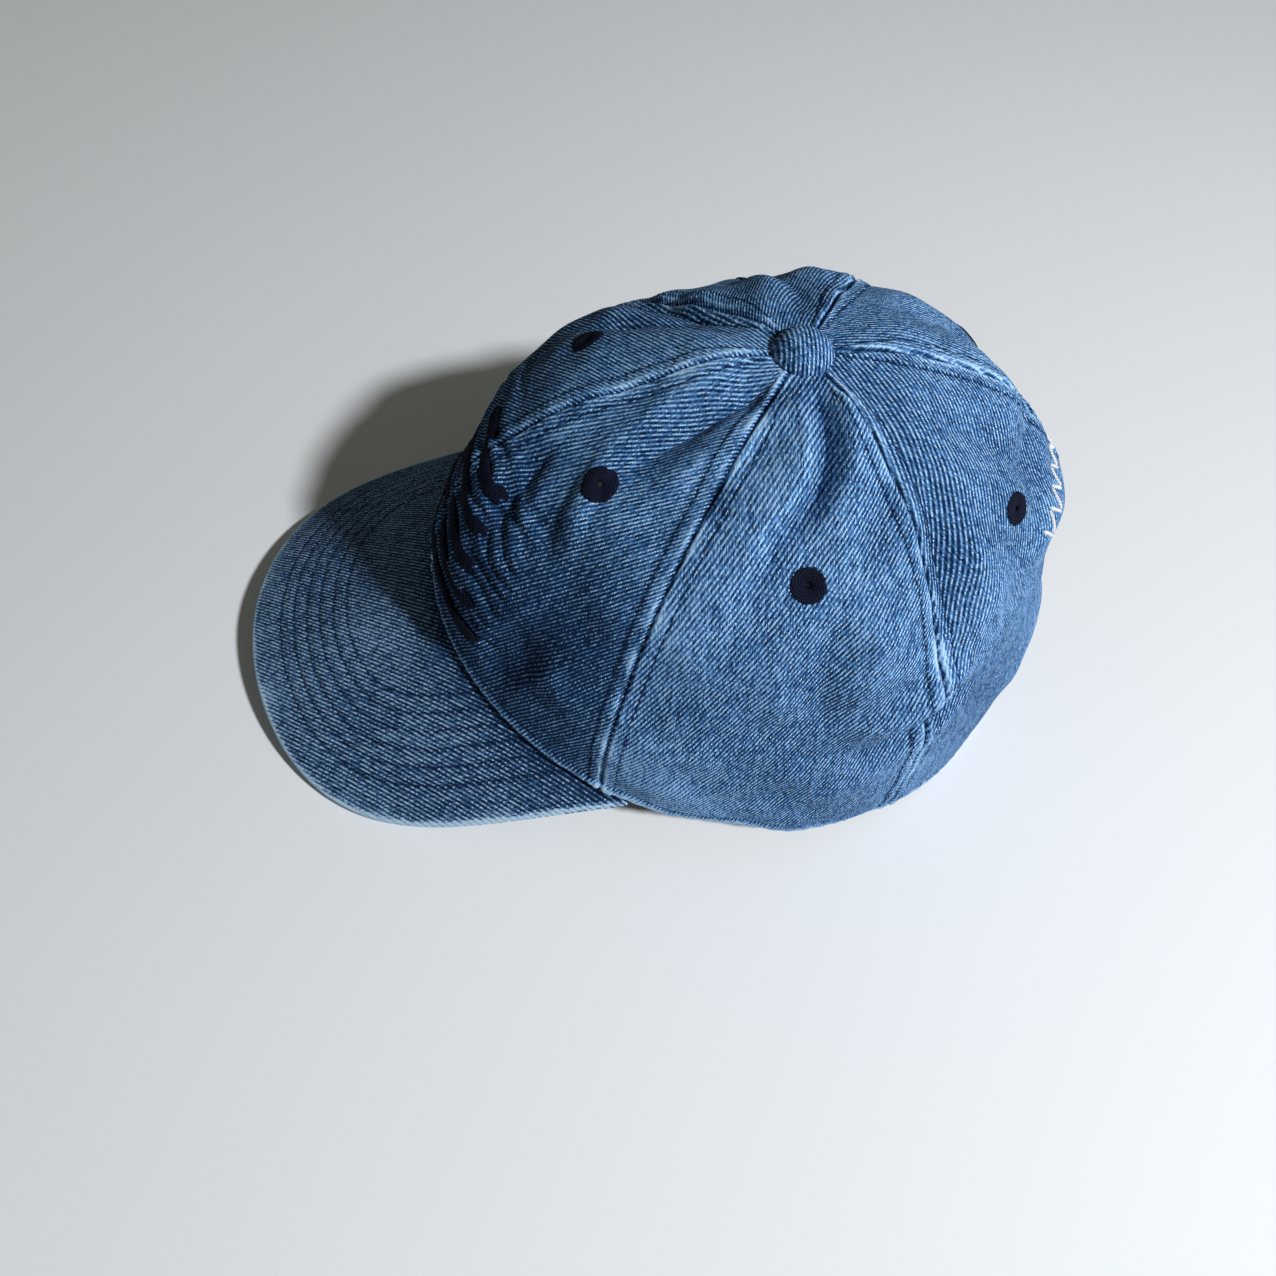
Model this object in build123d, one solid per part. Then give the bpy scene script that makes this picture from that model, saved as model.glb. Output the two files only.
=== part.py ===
"""Six-panel denim baseball cap with a curved brim and an adjustable rear strap.

Millimetres.  +Z is up, the brim points to -Y and the wearer's left is +X.  The cap
stands on z = 0, on its rear rim and the two low corners of the brim.  The model is
worked out about the axis of the crown's rim and then moved so that the origin is
the middle of the whole cap's footprint.
"""
import os
from math import acos, asin, atan2, cos, degrees, hypot, pi, radians, remainder, sin, tau

from build123d import *

# ---- rim and crown ------------------------------------------------------------
HALF_WIDTH = 80.5            # rim ellipse, half axis across the head
FRONT_LENGTH = 98.0          # rim ellipse, half axis towards the forehead
REAR_LENGTH = 93.5           # rim ellipse, half axis towards the nape
CROWN_HEIGHT = 134.0         # top of the cloth above the floor
APEX_SHIFT = -1.0            # apex of the crown, along Y from the rim's centre
APEX_HOLE = 2.4              # radius left open for the button's rivet
FRONT_RIM_LIFT = 44.6        # rim above the floor at the middle of the forehead
ARCH_RATE = 0.0038           # how fast the front rim falls away sideways, per mm
REST_ANGLE = radians(144)    # from here to the nape the rim lies on the floor
ROUND_FRONT, ROUND_REAR = 1.16, 0.73     # exponents of the crown's plan shape
RISE_FRONT, RISE_REAR = 0.92, 0.82       # exponents of the crown's rise
SIDE_SEAM = radians(58.6)    # seam between front and side panel, from the front
REAR_SEAM = radians(116.5)   # seam between side and rear panel
CLOTH = 1.1                  # denim with its facing

# ---- brim -----------------------------------------------------------------------
BRIM_ANGLE = radians(63.6)   # the brim meets the rim up to here, each side
BRIM_LENGTH = 64.0           # projection at the middle
BRIM_HALF_WIDTH = 74.0
BRIM_SIDE_POWER, BRIM_TIP_POWER = 1.06, 0.46    # corners of the brim's outline
BRIM_SLOPE = 0.56            # fall per mm of projection
BRIM_UPTURN = 4.5            # how much the fall eases off at the tip
BRIM_DROP = 1.1              # top of the brim below the crown's edge
BRIM_INSERT = 2.4            # how far the brim reaches in under the crown
TOP_CLOTH, BOARD, UNDER_CLOTH = 0.8, 1.8, 0.7
BOARD_SHARE, SEAM_GAP = 0.975, 0.004     # the board ends here, then comes the turned seam
SEAM_REACH = 0.95            # how far round towards the corners the turned seam goes

# ---- inside of the crown ---------------------------------------------------------
TAPE_DEPTH, TAPE = 1.15, 0.45
TAPE_HALF_WIDTH = 7.0
TAPE_START, TAPE_END_RADIUS = 4.0, 9.0
BAND_HEIGHT, BAND_BASE = 32.0, 1.6
BAND_FRONT_DEPTH, BAND_REAR_DEPTH, BAND = 2.8, 6.4, 1.1
BAND_WIDENS = (radians(98), radians(126))        # the strap's channel opens here
BAND_END = radians(152)
LABEL_ANGLE, LABEL_HALF = radians(136), radians(7)
LABEL_HEIGHTS, LABEL = (6.0, 27.0), 0.25

# ---- rear opening ------------------------------------------------------------------
OPENING_HALF_WIDTH = 36.0
OPENING_STRAIGHT = 14.0
OPENING_ROUND = 30.0
FACING_WIDTH, FACING_DEPTH, FACING = 8.0, 1.15, 0.75
FACING_ANGLE, FACING_HEIGHTS = radians(36), (0.5, 56.0)

# ---- eyelets and button -------------------------------------------------------------
EYELET_RISE = 0.56           # share of the way from rim to apex
EYELET_RADIUS, EYELET_HOLE = 5.0, 1.5
EYELET_PROUD, EYELET_INSIDE = 0.5, 0.35
BUTTON_RADIUS, BUTTON_HEIGHT = 7.7, 5.6
BUTTON_CLOTH, BUTTON_METAL = 0.9, 0.6
RIVET_RADIUS, RIVET_DROP, RIVET_CLEARANCE = 1.6, 2.9, 0.2
RIVET_FOOT, RIVET_FOOT_HEIGHT = 2.8, 0.8
WASHER_RADIUS, WASHER, WASHER_DROP = 6.5, 0.9, 1.7

# ---- strap and buckle ----------------------------------------------------------------
STRAP_CENTRE_Y = 22.2        # the strap is an arc about this axis
STRAP_RADIUS, STRAP = 67.1, 1.4
STRAP_LOW, STRAP_HIGH = 3.0, 21.0
STRAP_HALF_ANGLE = 47.5
BUCKLE_ANGLE = 18.5          # from the nape towards the wearer's right
PLATE_OUTER, PLATE = 65.65, 0.8
BUCKLE_START, PLATE_END, BUCKLE_END = -7.5, 7.5, 12.6
EAR, EAR_GAP, EAR_OUTER, EAR_ROUND = 0.7, 0.4, 71.0, 2.0
PIN_ALONG, PIN_OUT, PIN_RADIUS, PIN_HEAD = -5.3, 69.6, 0.75, 0.3
KNUCKLE_RADIUS, LEVER_GAP = 1.45, 0.1
LEVER, LEVER_END = 0.9, 7.6
LIP_HEIGHT = 1.3
BAR_ALONG, BAR_OUT, BAR_RADIUS = 11.0, 68.9, 0.85
LOOP_CLOTH = 0.8
LOOP_END_ANGLE = 42.0

MESH_U, MESH_V = 25, 25      # points that each curved surface is fitted through
NORMAL_STEP = 1e-3


# ---- the crown's surface --------------------------------------------------------------
def rim_lift(theta):
    """Height of the rim: arched over the brim, then easing down to the floor."""
    angle = abs(remainder(theta, tau))
    if angle <= BRIM_ANGLE:
        return FRONT_RIM_LIFT - ARCH_RATE * (HALF_WIDTH * sin(angle)) ** 2
    if angle >= REST_ANGLE:
        return 0.0
    corner = FRONT_RIM_LIFT - ARCH_RATE * (HALF_WIDTH * sin(BRIM_ANGLE)) ** 2
    slope = -2 * ARCH_RATE * HALF_WIDTH ** 2 * sin(BRIM_ANGLE) * cos(BRIM_ANGLE)
    span = REST_ANGLE - BRIM_ANGLE
    s = (angle - BRIM_ANGLE) / span
    return corner * (2 * s ** 3 - 3 * s ** 2 + 1) + slope * span * (s ** 3 - 2 * s ** 2 + s)


def rim_point(theta):
    length = FRONT_LENGTH if cos(theta) > 0 else REAR_LENGTH
    return HALF_WIDTH * sin(theta), -length * cos(theta), rim_lift(theta)


def exponents(theta):
    frontness = (cos(theta) + 1) / 2
    shrink = ROUND_FRONT * frontness + ROUND_REAR * (1 - frontness)
    rise = RISE_FRONT * frontness + RISE_REAR * (1 - frontness)
    return shrink, rise


def skin_point(theta, phi):
    """Outer face of the cloth; phi runs from 0 at the rim to 90 degrees at the apex."""
    x, y, z = rim_point(theta)
    shrink, rise = exponents(theta)
    k = max(cos(phi), 0.0) ** shrink
    m = max(sin(phi), 0.0) ** rise
    return Vector(x * k, APEX_SHIFT + (y - APEX_SHIFT) * k, z + (CROWN_HEIGHT - z) * m)


def skin_normal(theta, phi):
    here = skin_point(theta, phi)
    along = skin_point(theta + NORMAL_STEP, phi) - here
    if phi < pi / 4:
        up = skin_point(theta, phi + NORMAL_STEP) - here
    else:
        up = here - skin_point(theta, phi - NORMAL_STEP)
    return along.cross(up).normalized()


def crown_point(theta, phi, depth):
    return skin_point(theta, phi) - skin_normal(theta, phi) * depth


def phi_at_height(theta, height):
    """Where the skin is this far above the rim."""
    share = height / (CROWN_HEIGHT - rim_lift(theta))
    return asin(share ** (1 / exponents(theta)[1]))


def phi_at_radius(theta, radius):
    """Where the skin is this far from the crown's axis."""
    x, y, _ = rim_point(theta)
    share = radius / hypot(x, y - APEX_SHIFT)
    return acos(share ** (1 / exponents(theta)[0]))


# ---- solids from surfaces ----------------------------------------------------------------
def steps(start, stop, count):
    return [start + (stop - start) * i / (count - 1) for i in range(count)]


def nearest_edge(edges, edge):
    return min(edges, key=lambda other: (other.center() - edge.center()).length)


def slab(point, u_range, v_range, depth, thickness, u_count=MESH_U, v_count=MESH_V):
    """Closed solid between two parallel surfaces of point(u, v, depth)."""
    faces = []
    for level in (depth, depth + thickness):
        rows = [[point(u, v, level) for v in steps(*v_range, v_count)]
                for u in steps(*u_range, u_count)]
        faces.append(Face.make_surface_from_array_of_points(rows, tol=0.005, min_deg=3))
    outer, inner = faces
    walls = [Face.make_surface_from_curves(edge, nearest_edge(inner.edges(), edge))
             for edge in outer.edges()]
    solid = Solid(Shell([outer, inner] + walls))
    return solid if solid.volume > 0 else Solid(solid.wrapped.Reversed())


def arch_prism(grow=0.0):
    """The rear opening's outline, swept from inside the crown to behind it."""
    half = OPENING_HALF_WIDTH + grow
    top = OPENING_ROUND + grow
    y_start, y_length, below = 40.0, 80.0, 5.0
    round_part = Ellipse(half, top)
    lower_half = Pos(0, -top) * Rectangle(2 * half, 2 * top)
    straight = Pos(0, -(OPENING_STRAIGHT + below) / 2) * Rectangle(2 * half, OPENING_STRAIGHT + below)
    outline = (round_part - lower_half) + straight
    plane = Plane(origin=(0, y_start, OPENING_STRAIGHT), x_dir=(1, 0, 0), z_dir=(0, -1, 0))
    return extrude(plane * outline, amount=-y_length)


# ---- crown pieces ----------------------------------------------------------------------
PANELS = {
    "front_left": (0.0, SIDE_SEAM),
    "side_left": (SIDE_SEAM, REAR_SEAM),
    "rear_left": (REAR_SEAM, pi),
    "rear_right": (pi, tau - REAR_SEAM),
    "side_right": (tau - REAR_SEAM, tau - SIDE_SEAM),
    "front_right": (tau - SIDE_SEAM, tau),
}


def panel_point(theta, share, depth):
    return crown_point(theta, share * phi_at_radius(theta, APEX_HOLE), depth)


def eyelet_plane(name):
    theta = sum(PANELS[name]) / 2
    phi = EYELET_RISE * pi / 2
    return Plane(origin=skin_point(theta, phi), z_dir=skin_normal(theta, phi))


def make_panel(name):
    panel = slab(panel_point, PANELS[name], (0.0, 1.0), 0.0, CLOTH)
    panel -= eyelet_plane(name) * Cylinder(EYELET_RADIUS, 12.0)
    if name.startswith("rear"):
        panel -= arch_prism()
    return panel


def make_eyelet(name):
    height = EYELET_PROUD + CLOTH + EYELET_INSIDE
    middle = EYELET_PROUD - height / 2
    ring = Cylinder(EYELET_RADIUS, height) - Cylinder(EYELET_HOLE, height)
    ring = fillet(ring.edges().filter_by(GeomType.CIRCLE).group_by(Axis.Z)[-1], 0.35)
    return eyelet_plane(name) * Pos(0, 0, middle) * ring


def make_seam_tape(theta_seam):
    """Strip over the inside of a seam, narrowing where the six strips meet."""
    def point(side, share, depth):
        start = phi_at_height(theta_seam, TAPE_START)
        if abs(remainder(theta_seam - pi, tau)) < 0.1:
            start = phi_at_height(theta_seam, OPENING_STRAIGHT + OPENING_ROUND + FACING_WIDTH + 1)
        phi = start + share * (phi_at_radius(theta_seam, TAPE_END_RADIUS) - start)
        edge = skin_point(theta_seam, phi)
        reach = hypot(edge.X, edge.Y - APEX_SHIFT)
        half_angle = 1 / (reach / TAPE_HALF_WIDTH + 2.2)
        return crown_point(theta_seam + side * half_angle, phi, depth)
    return slab(point, (-1.0, 1.0), (0.0, 1.0), TAPE_DEPTH, TAPE, u_count=7)


def band_depth(theta):
    start, stop = BAND_WIDENS
    s = min(max((abs(remainder(theta, tau)) - start) / (stop - start), 0.0), 1.0)
    return BAND_FRONT_DEPTH + (BAND_REAR_DEPTH - BAND_FRONT_DEPTH) * s * s * (3 - 2 * s)


def band_point(theta, height, depth):
    return crown_point(theta, phi_at_height(theta, height), band_depth(theta) + depth)


def make_sweatband():
    return slab(band_point, (-BAND_END, BAND_END), (BAND_BASE, BAND_HEIGHT), 0.0, BAND,
                u_count=61, v_count=9)


def make_care_label():
    angles = (LABEL_ANGLE - LABEL_HALF, LABEL_ANGLE + LABEL_HALF)
    return slab(band_point, angles, LABEL_HEIGHTS, BAND + 0.02, LABEL, u_count=9, v_count=9)


def make_opening_facing():
    """Tape behind the edge of the rear opening."""
    def point(theta, height, depth):
        return crown_point(theta, phi_at_height(theta, height), depth)
    strip = slab(point, (pi - FACING_ANGLE, pi + FACING_ANGLE), FACING_HEIGHTS,
                 FACING_DEPTH, FACING)
    return (strip & arch_prism(FACING_WIDTH)) - arch_prism()


# ---- brim ---------------------------------------------------------------------------------
def brim_height(x, y):
    scale = hypot(x / HALF_WIDTH, y / FRONT_LENGTH)
    out = (scale - 1) * hypot(x, y) / scale
    ease = BRIM_UPTURN * (out / BRIM_LENGTH) ** 2
    return FRONT_RIM_LIFT - BRIM_DROP - ARCH_RATE * x * x - BRIM_SLOPE * out + ease


def brim_outline(angle):
    corner_y = -FRONT_LENGTH * cos(BRIM_ANGLE)
    side = abs(sin(angle)) ** BRIM_SIDE_POWER
    forward = max(cos(angle), 0.0) ** BRIM_TIP_POWER
    x = BRIM_HALF_WIDTH * (side if angle > 0 else -side)
    return x, corner_y - (FRONT_LENGTH + BRIM_LENGTH + corner_y) * forward


def brim_point(side, out, depth):
    """side runs from -1 to 1 across the brim, out from 0 at the crown to 1 at the edge."""
    inner_x = (HALF_WIDTH - BRIM_INSERT) * sin(side * BRIM_ANGLE)
    inner_y = -(FRONT_LENGTH - BRIM_INSERT) * cos(side * BRIM_ANGLE)
    outer_x, outer_y = brim_outline(side * pi / 2)
    x = inner_x + (outer_x - inner_x) * out
    y = inner_y + (outer_y - inner_y) * out
    z, step = brim_height(x, y), 0.01
    normal = Vector(z - brim_height(x + step, y), z - brim_height(x, y + step), step)
    return Vector(x, y, z) - normal.normalized() * depth


def brim_layer(out_range, depth, thickness, side=1.0):
    return slab(brim_point, (-side, side), out_range, depth, thickness, u_count=61, v_count=13)


# ---- button ----------------------------------------------------------------------------------
def dome(radius, height):
    """Spherical cap standing on z = 0."""
    ball = (radius ** 2 + height ** 2) / (2 * height)
    sphere = Pos(0, 0, height - ball) * Sphere(ball)
    return sphere & Pos(0, 0, height / 2) * Cylinder(radius, height)


def disc(radius, low, high):
    return Pos(0, 0, (low + high) / 2) * Cylinder(radius, high - low)


def make_button():
    """Cloth-covered metal shell, riveted through the apex onto a washer inside."""
    shell_radius, shell_height = BUTTON_RADIUS - BUTTON_CLOTH, BUTTON_HEIGHT - BUTTON_CLOTH
    hollow_height = shell_height - BUTTON_METAL
    outer = dome(BUTTON_RADIUS, BUTTON_HEIGHT)
    middle = dome(shell_radius, shell_height)
    hollow = dome(shell_radius - BUTTON_METAL, hollow_height)
    stem = disc(RIVET_RADIUS, -RIVET_DROP, hollow_height - RIVET_CLEARANCE)
    foot = disc(RIVET_FOOT, -RIVET_DROP - RIVET_FOOT_HEIGHT, -RIVET_DROP)
    washer = disc(WASHER_RADIUS, -WASHER_DROP - WASHER, -WASHER_DROP)
    pieces = {
        "button_cover": outer - middle,
        "button_shell": middle - hollow,
        "button_rivet": stem + foot,
        "button_washer": washer - disc(RIVET_RADIUS, -RIVET_DROP, 0),
    }
    on_top = Pos(0, APEX_SHIFT, CROWN_HEIGHT)
    return {name: on_top * piece for name, piece in pieces.items()}


# ---- strap and buckle --------------------------------------------------------------------------
def arc_band(start, stop, inner, outer, low, high):
    """Upright band on the strap's arc; degrees from the nape, + to the wearer's left."""
    reach = 3 * outer
    ring = disc(outer, low, high) - disc(inner, low, high)
    corners = [(reach * sin(radians(a)), reach * cos(radians(a))) for a in steps(start, stop, 5)]
    wedge = extrude(make_face(Polyline((0, 0), *corners, (0, 0))), amount=high)
    return Pos(0, STRAP_CENTRE_Y, 0) * (ring & wedge)


def buckle_block(along, out, up):
    """Block in the buckle's frame: along the strap to the wearer's right, outwards, up."""
    size = [stop - start for start, stop in (along, out, up)]
    middle = [(start + stop) / 2 for start, stop in (along, out, up)]
    return Pos(-middle[0], middle[1], middle[2]) * Box(*size)


def buckle_rod(along, out, radius, low, high):
    return Pos(-along, out, 0) * disc(radius, low, high)


def place_buckle(piece):
    return Pos(0, STRAP_CENTRE_Y, 0) * Rot(0, 0, BUCKLE_ANGLE) * piece


def make_ear(low, high):
    ear = buckle_block((BUCKLE_START, BUCKLE_END), (PLATE_OUTER - PLATE, EAR_OUTER), (low, high))
    return fillet(ear.edges().filter_by(Axis.Z).sort_by(Axis.Y)[-2:], EAR_ROUND)


def make_buckle():
    low, high = STRAP_LOW - EAR_GAP, STRAP_HIGH + EAR_GAP
    plate = buckle_block((BUCKLE_START, PLATE_END), (PLATE_OUTER - PLATE, PLATE_OUTER),
                         (low - EAR, high + EAR))
    frame = plate + make_ear(low - EAR, low) + make_ear(high, high + EAR)
    frame += buckle_rod(BAR_ALONG, BAR_OUT, BAR_RADIUS, low, high)
    pin = buckle_rod(PIN_ALONG, PIN_OUT, PIN_RADIUS, low - EAR - PIN_HEAD, high + EAR + PIN_HEAD)
    frame -= buckle_rod(PIN_ALONG, PIN_OUT, PIN_RADIUS, low - EAR, high + EAR)
    lever_low, lever_high = STRAP_LOW, STRAP_HIGH
    lever_inner = PIN_OUT - KNUCKLE_RADIUS
    knuckle = buckle_rod(PIN_ALONG, PIN_OUT, KNUCKLE_RADIUS, lever_low, lever_high)
    leaf = buckle_block((PIN_ALONG, LEVER_END), (lever_inner, lever_inner + LEVER),
                        (lever_low, lever_high))
    lip = buckle_block((LEVER_END - LEVER, LEVER_END), (lever_inner, lever_inner + LIP_HEIGHT),
                       (lever_low, lever_high))
    bore = buckle_rod(PIN_ALONG, PIN_OUT, PIN_RADIUS + LEVER_GAP, lever_low, lever_high)
    return {
        "buckle_frame": place_buckle(frame),
        "buckle_pin": place_buckle(pin),
        "buckle_lever": place_buckle(knuckle + leaf + lip - bore),
    }


def make_buckle_loop():
    """Short tape that holds the buckle's bar and is sewn in behind the panel."""
    low, high = STRAP_LOW, STRAP_HIGH
    eye = buckle_rod(BAR_ALONG, BAR_OUT, BAR_RADIUS + LOOP_CLOTH, low, high)
    eye -= buckle_rod(BAR_ALONG, BAR_OUT, BAR_RADIUS, low, high)
    bar_angle = BUCKLE_ANGLE + degrees(atan2(BAR_ALONG, BAR_OUT))
    tail_inner = hypot(BAR_ALONG, BAR_OUT) - BAR_RADIUS - LOOP_CLOTH
    tail = arc_band(-LOOP_END_ANGLE, -bar_angle, tail_inner, tail_inner + LOOP_CLOTH, low, high)
    return place_buckle(eye) + tail


def make_strap():
    return arc_band(-STRAP_HALF_ANGLE, STRAP_HALF_ANGLE, STRAP_RADIUS - STRAP / 2,
                    STRAP_RADIUS + STRAP / 2, STRAP_LOW, STRAP_HIGH)


# ---- the whole cap --------------------------------------------------------------------------------
def make_nodes():
    nodes = {f"{name}_panel": make_panel(name) for name in PANELS}
    nodes.update({f"{name}_eyelet": make_eyelet(name) for name in PANELS})
    seams = {"front": 0.0, "front_left": SIDE_SEAM, "rear_left": REAR_SEAM, "rear": pi,
             "rear_right": -REAR_SEAM, "front_right": -SIDE_SEAM}
    nodes.update({f"{name}_seam_tape": make_seam_tape(theta) for name, theta in seams.items()})
    nodes["sweatband"] = make_sweatband()
    nodes["care_label"] = make_care_label()
    nodes["opening_facing"] = make_opening_facing()
    nodes["brim_top_cloth"] = brim_layer((0.0, 1.0), 0.0, TOP_CLOTH)
    nodes["brim_board"] = brim_layer((0.0, BOARD_SHARE), TOP_CLOTH, BOARD)
    nodes["brim_edge_seam"] = brim_layer((BOARD_SHARE + SEAM_GAP, 1.0), TOP_CLOTH, BOARD,
                                         side=SEAM_REACH)
    nodes["brim_under_cloth"] = brim_layer((0.0, 1.0), TOP_CLOTH + BOARD, UNDER_CLOTH)
    nodes.update(make_button())
    nodes["rear_strap"] = make_strap()
    nodes.update(make_buckle())
    nodes["buckle_loop"] = make_buckle_loop()
    return nodes


def main():
    """Move the cap over the middle of its footprint and write one file per piece."""
    os.makedirs("parts", exist_ok=True)
    nodes = make_nodes()
    boxes = [piece.bounding_box() for piece in nodes.values()]
    shift = -(min(box.min.Y for box in boxes) + max(box.max.Y for box in boxes)) / 2
    print(f"moved along Y by {shift:.3f} mm")
    for name, piece in nodes.items():
        export_step(Pos(0, shift, 0) * piece, f"parts/{name}.step")


main()
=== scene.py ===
from math import acos, atan2, cos, hypot, pi, radians, sin, sqrt, tau

import bpy
import numpy as np
from mathutils import Matrix, Vector


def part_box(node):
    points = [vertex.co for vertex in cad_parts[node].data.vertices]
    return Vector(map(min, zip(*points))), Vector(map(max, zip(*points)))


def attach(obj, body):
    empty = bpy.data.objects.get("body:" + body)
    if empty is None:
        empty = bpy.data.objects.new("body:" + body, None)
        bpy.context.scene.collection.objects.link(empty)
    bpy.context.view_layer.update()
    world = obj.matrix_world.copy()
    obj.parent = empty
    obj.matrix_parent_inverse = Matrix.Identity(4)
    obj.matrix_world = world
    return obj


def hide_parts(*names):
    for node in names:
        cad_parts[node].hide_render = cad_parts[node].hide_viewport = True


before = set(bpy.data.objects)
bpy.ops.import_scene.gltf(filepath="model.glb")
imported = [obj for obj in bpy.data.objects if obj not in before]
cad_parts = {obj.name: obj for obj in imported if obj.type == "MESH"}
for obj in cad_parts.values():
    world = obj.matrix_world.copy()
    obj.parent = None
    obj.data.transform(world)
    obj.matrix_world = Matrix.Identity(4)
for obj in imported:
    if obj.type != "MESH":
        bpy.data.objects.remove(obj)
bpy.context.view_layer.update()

# Lengths are in millimetres and about the axis of the crown, as in the CAD source,
# until to_metres() puts them in the row frame.

# ---- the crown and brim, as the CAD source has them
HALF_WIDTH, FRONT_LENGTH, REAR_LENGTH = 80.5, 98.0, 93.5
CROWN_HEIGHT, APEX_Y, APEX_HOLE = 134.0, -1.0, 2.4
FRONT_RIM_LIFT, ARCH_RATE, REST_ANGLE = 44.6, 0.0038, radians(144)
ROUND_FRONT, ROUND_REAR = 1.16, 0.73
RISE_FRONT, RISE_REAR = 0.92, 0.82
SIDE_SEAM, REAR_SEAM = radians(58.6), radians(116.5)
CLOTH = 1.1
BRIM_ANGLE, BRIM_LENGTH, BRIM_HALF_WIDTH = radians(63.6), 64.0, 74.0
BRIM_SIDE_POWER, BRIM_TIP_POWER = 1.06, 0.46
BRIM_SLOPE, BRIM_UPTURN, BRIM_DROP, BRIM_INSERT = 0.56, 4.5, 1.1, 2.4
BRIM_THICKNESS = 3.3
TAPE_DEPTH, TAPE, TAPE_HALF_WIDTH, TAPE_START, TAPE_END_RADIUS = 1.15, 0.45, 7.0, 4.0, 9.0
BAND_BASE, BAND_HEIGHT, BAND = 1.6, 32.0, 1.1
BAND_FRONT_DEPTH, BAND_REAR_DEPTH = 2.8, 6.4
BAND_WIDENS, BAND_END = (radians(98), radians(126)), radians(152)
LABEL_ANGLE, LABEL_HALF, LABEL = radians(136), radians(7), 0.25
ARCH_HALF, ARCH_STRAIGHT, ARCH_ROUND = 36.0, 14.0, 30.0
FACING_WIDTH, FACING_DEPTH, FACING = 8.0, 1.15, 0.75
EYELET_RISE, EYELET_HOLE = 0.56, 3.4     # share of the way up; radius of the hole in the cloth
BUTTON_RADIUS, BUTTON_HEIGHT = 7.7, 5.6
STRAP_CENTRE_Y, STRAP_RADIUS, STRAP = 22.2, 67.1, 1.4
STRAP_LOW, STRAP_HIGH, STRAP_HALF_ANGLE = 3.0, 21.0, radians(47.5)
BUCKLE_ANGLE, BAR_ALONG, BAR_OUT, BAR_RADIUS = radians(18.5), 11.0, 68.9, 0.85
LOOP_CLOTH, LOOP_END_ANGLE = 0.8, radians(42)

SEAMS = {"front": 0.0, "front_left": SIDE_SEAM, "rear_left": REAR_SEAM, "rear": pi,
         "rear_right": -REAR_SEAM, "front_right": -SIDE_SEAM}
PANELS = {"front_left": (0.0, SIDE_SEAM), "side_left": (SIDE_SEAM, REAR_SEAM),
          "rear_left": (REAR_SEAM, pi), "rear_right": (-pi, -REAR_SEAM),
          "side_right": (-REAR_SEAM, -SIDE_SEAM), "front_right": (-SIDE_SEAM, 0.0)}

# ---- sewing
STITCH, STITCH_PITCH, THREAD_RADIUS = 2.6, 3.35, 0.17
SEAM_STITCH_GAP = 4.3        # topstitching beside each crown seam
ARCH_STITCH_GAP = 6.0
RIM_STITCH_HEIGHT = 4.0      # the row that holds the sweatband
RIM_STITCH_END = radians(147)
BRIM_ROWS = [10.4 + 4.55 * row for row in range(6)]      # distance in from the brim's edge
WARP_PITCH, WEFT_PITCH = 0.303, 0.525     # the twill lines climb at 60 degrees
HEM = 0.9                    # height of the lowest row of cloth above the rim
TAPE_STITCH_SHARE = 0.62     # of the tape's half width
BAND_STITCH_HEIGHTS = 4.2, 29.8
BAND_RADIUS = 84             # millimetres along the sweatband for each radian
STRAP_STITCH_INSET = 2.4
TWILL_ON_BUTTON = radians(60)

button_low, button_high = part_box("button_cover")
ROW_SHIFT = (button_low[1] + button_high[1]) / 2 * 1000 - APEX_Y


# ---- small helpers
def smooth(start, stop, value):
    s = np.clip((value - start) / (stop - start), 0.0, 1.0)
    return s * s * (3 - 2 * s)


def hill(distance, width):
    return np.exp(-(distance / width) ** 2)


def norm(vectors):
    return np.linalg.norm(vectors, axis=-1)


def unit(vectors):
    return vectors / np.maximum(norm(vectors), 1e-9)[..., None]


def travelled(path):
    """Distance along a path to each of its points."""
    return np.concatenate([[0], np.cumsum(norm(np.diff(path, axis=0)))])


def along_path(path, travel, where):
    """What belongs to a path's points, at some distances along it."""
    return np.stack([np.interp(where, travel, path[:, axis]) for axis in range(3)], -1)


def pairs(first, second):
    return np.stack(np.broadcast_arrays(first, second), -1)


def from_axis(place):
    return np.hypot(place[..., 0], place[..., 1] - APEX_Y)


def wrap(theta):
    return np.arctan2(np.sin(theta), np.cos(theta))


def waves(place, length, seed, count=9):
    """Smooth, repeatable unevenness with an rms of one."""
    draw = np.random.default_rng(seed)
    total = np.zeros(place.shape[:-1])
    for _ in range(count):
        direction = unit(draw.normal(size=3))
        total += np.sin(place @ direction * tau / (length * draw.uniform(0.7, 1.4)) + draw.uniform(0, tau))
    return total / sqrt(count / 2)


# ---- the crown's smooth surface
def rim_lift(theta):
    angle = np.abs(wrap(theta))
    arch = FRONT_RIM_LIFT - ARCH_RATE * (HALF_WIDTH * np.sin(angle)) ** 2
    corner = FRONT_RIM_LIFT - ARCH_RATE * (HALF_WIDTH * sin(BRIM_ANGLE)) ** 2
    slope = -2 * ARCH_RATE * HALF_WIDTH ** 2 * sin(BRIM_ANGLE) * cos(BRIM_ANGLE)
    span = REST_ANGLE - BRIM_ANGLE
    s = np.clip((angle - BRIM_ANGLE) / span, 0.0, 1.0)
    easing = corner * (2 * s ** 3 - 3 * s ** 2 + 1) + slope * span * (s ** 3 - 2 * s ** 2 + s)
    return np.where(angle <= BRIM_ANGLE, arch, easing)


def exponents(theta):
    front = (np.cos(theta) + 1) / 2
    shrink = ROUND_FRONT * front + ROUND_REAR * (1 - front)
    return shrink, RISE_FRONT * front + RISE_REAR * (1 - front)


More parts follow.
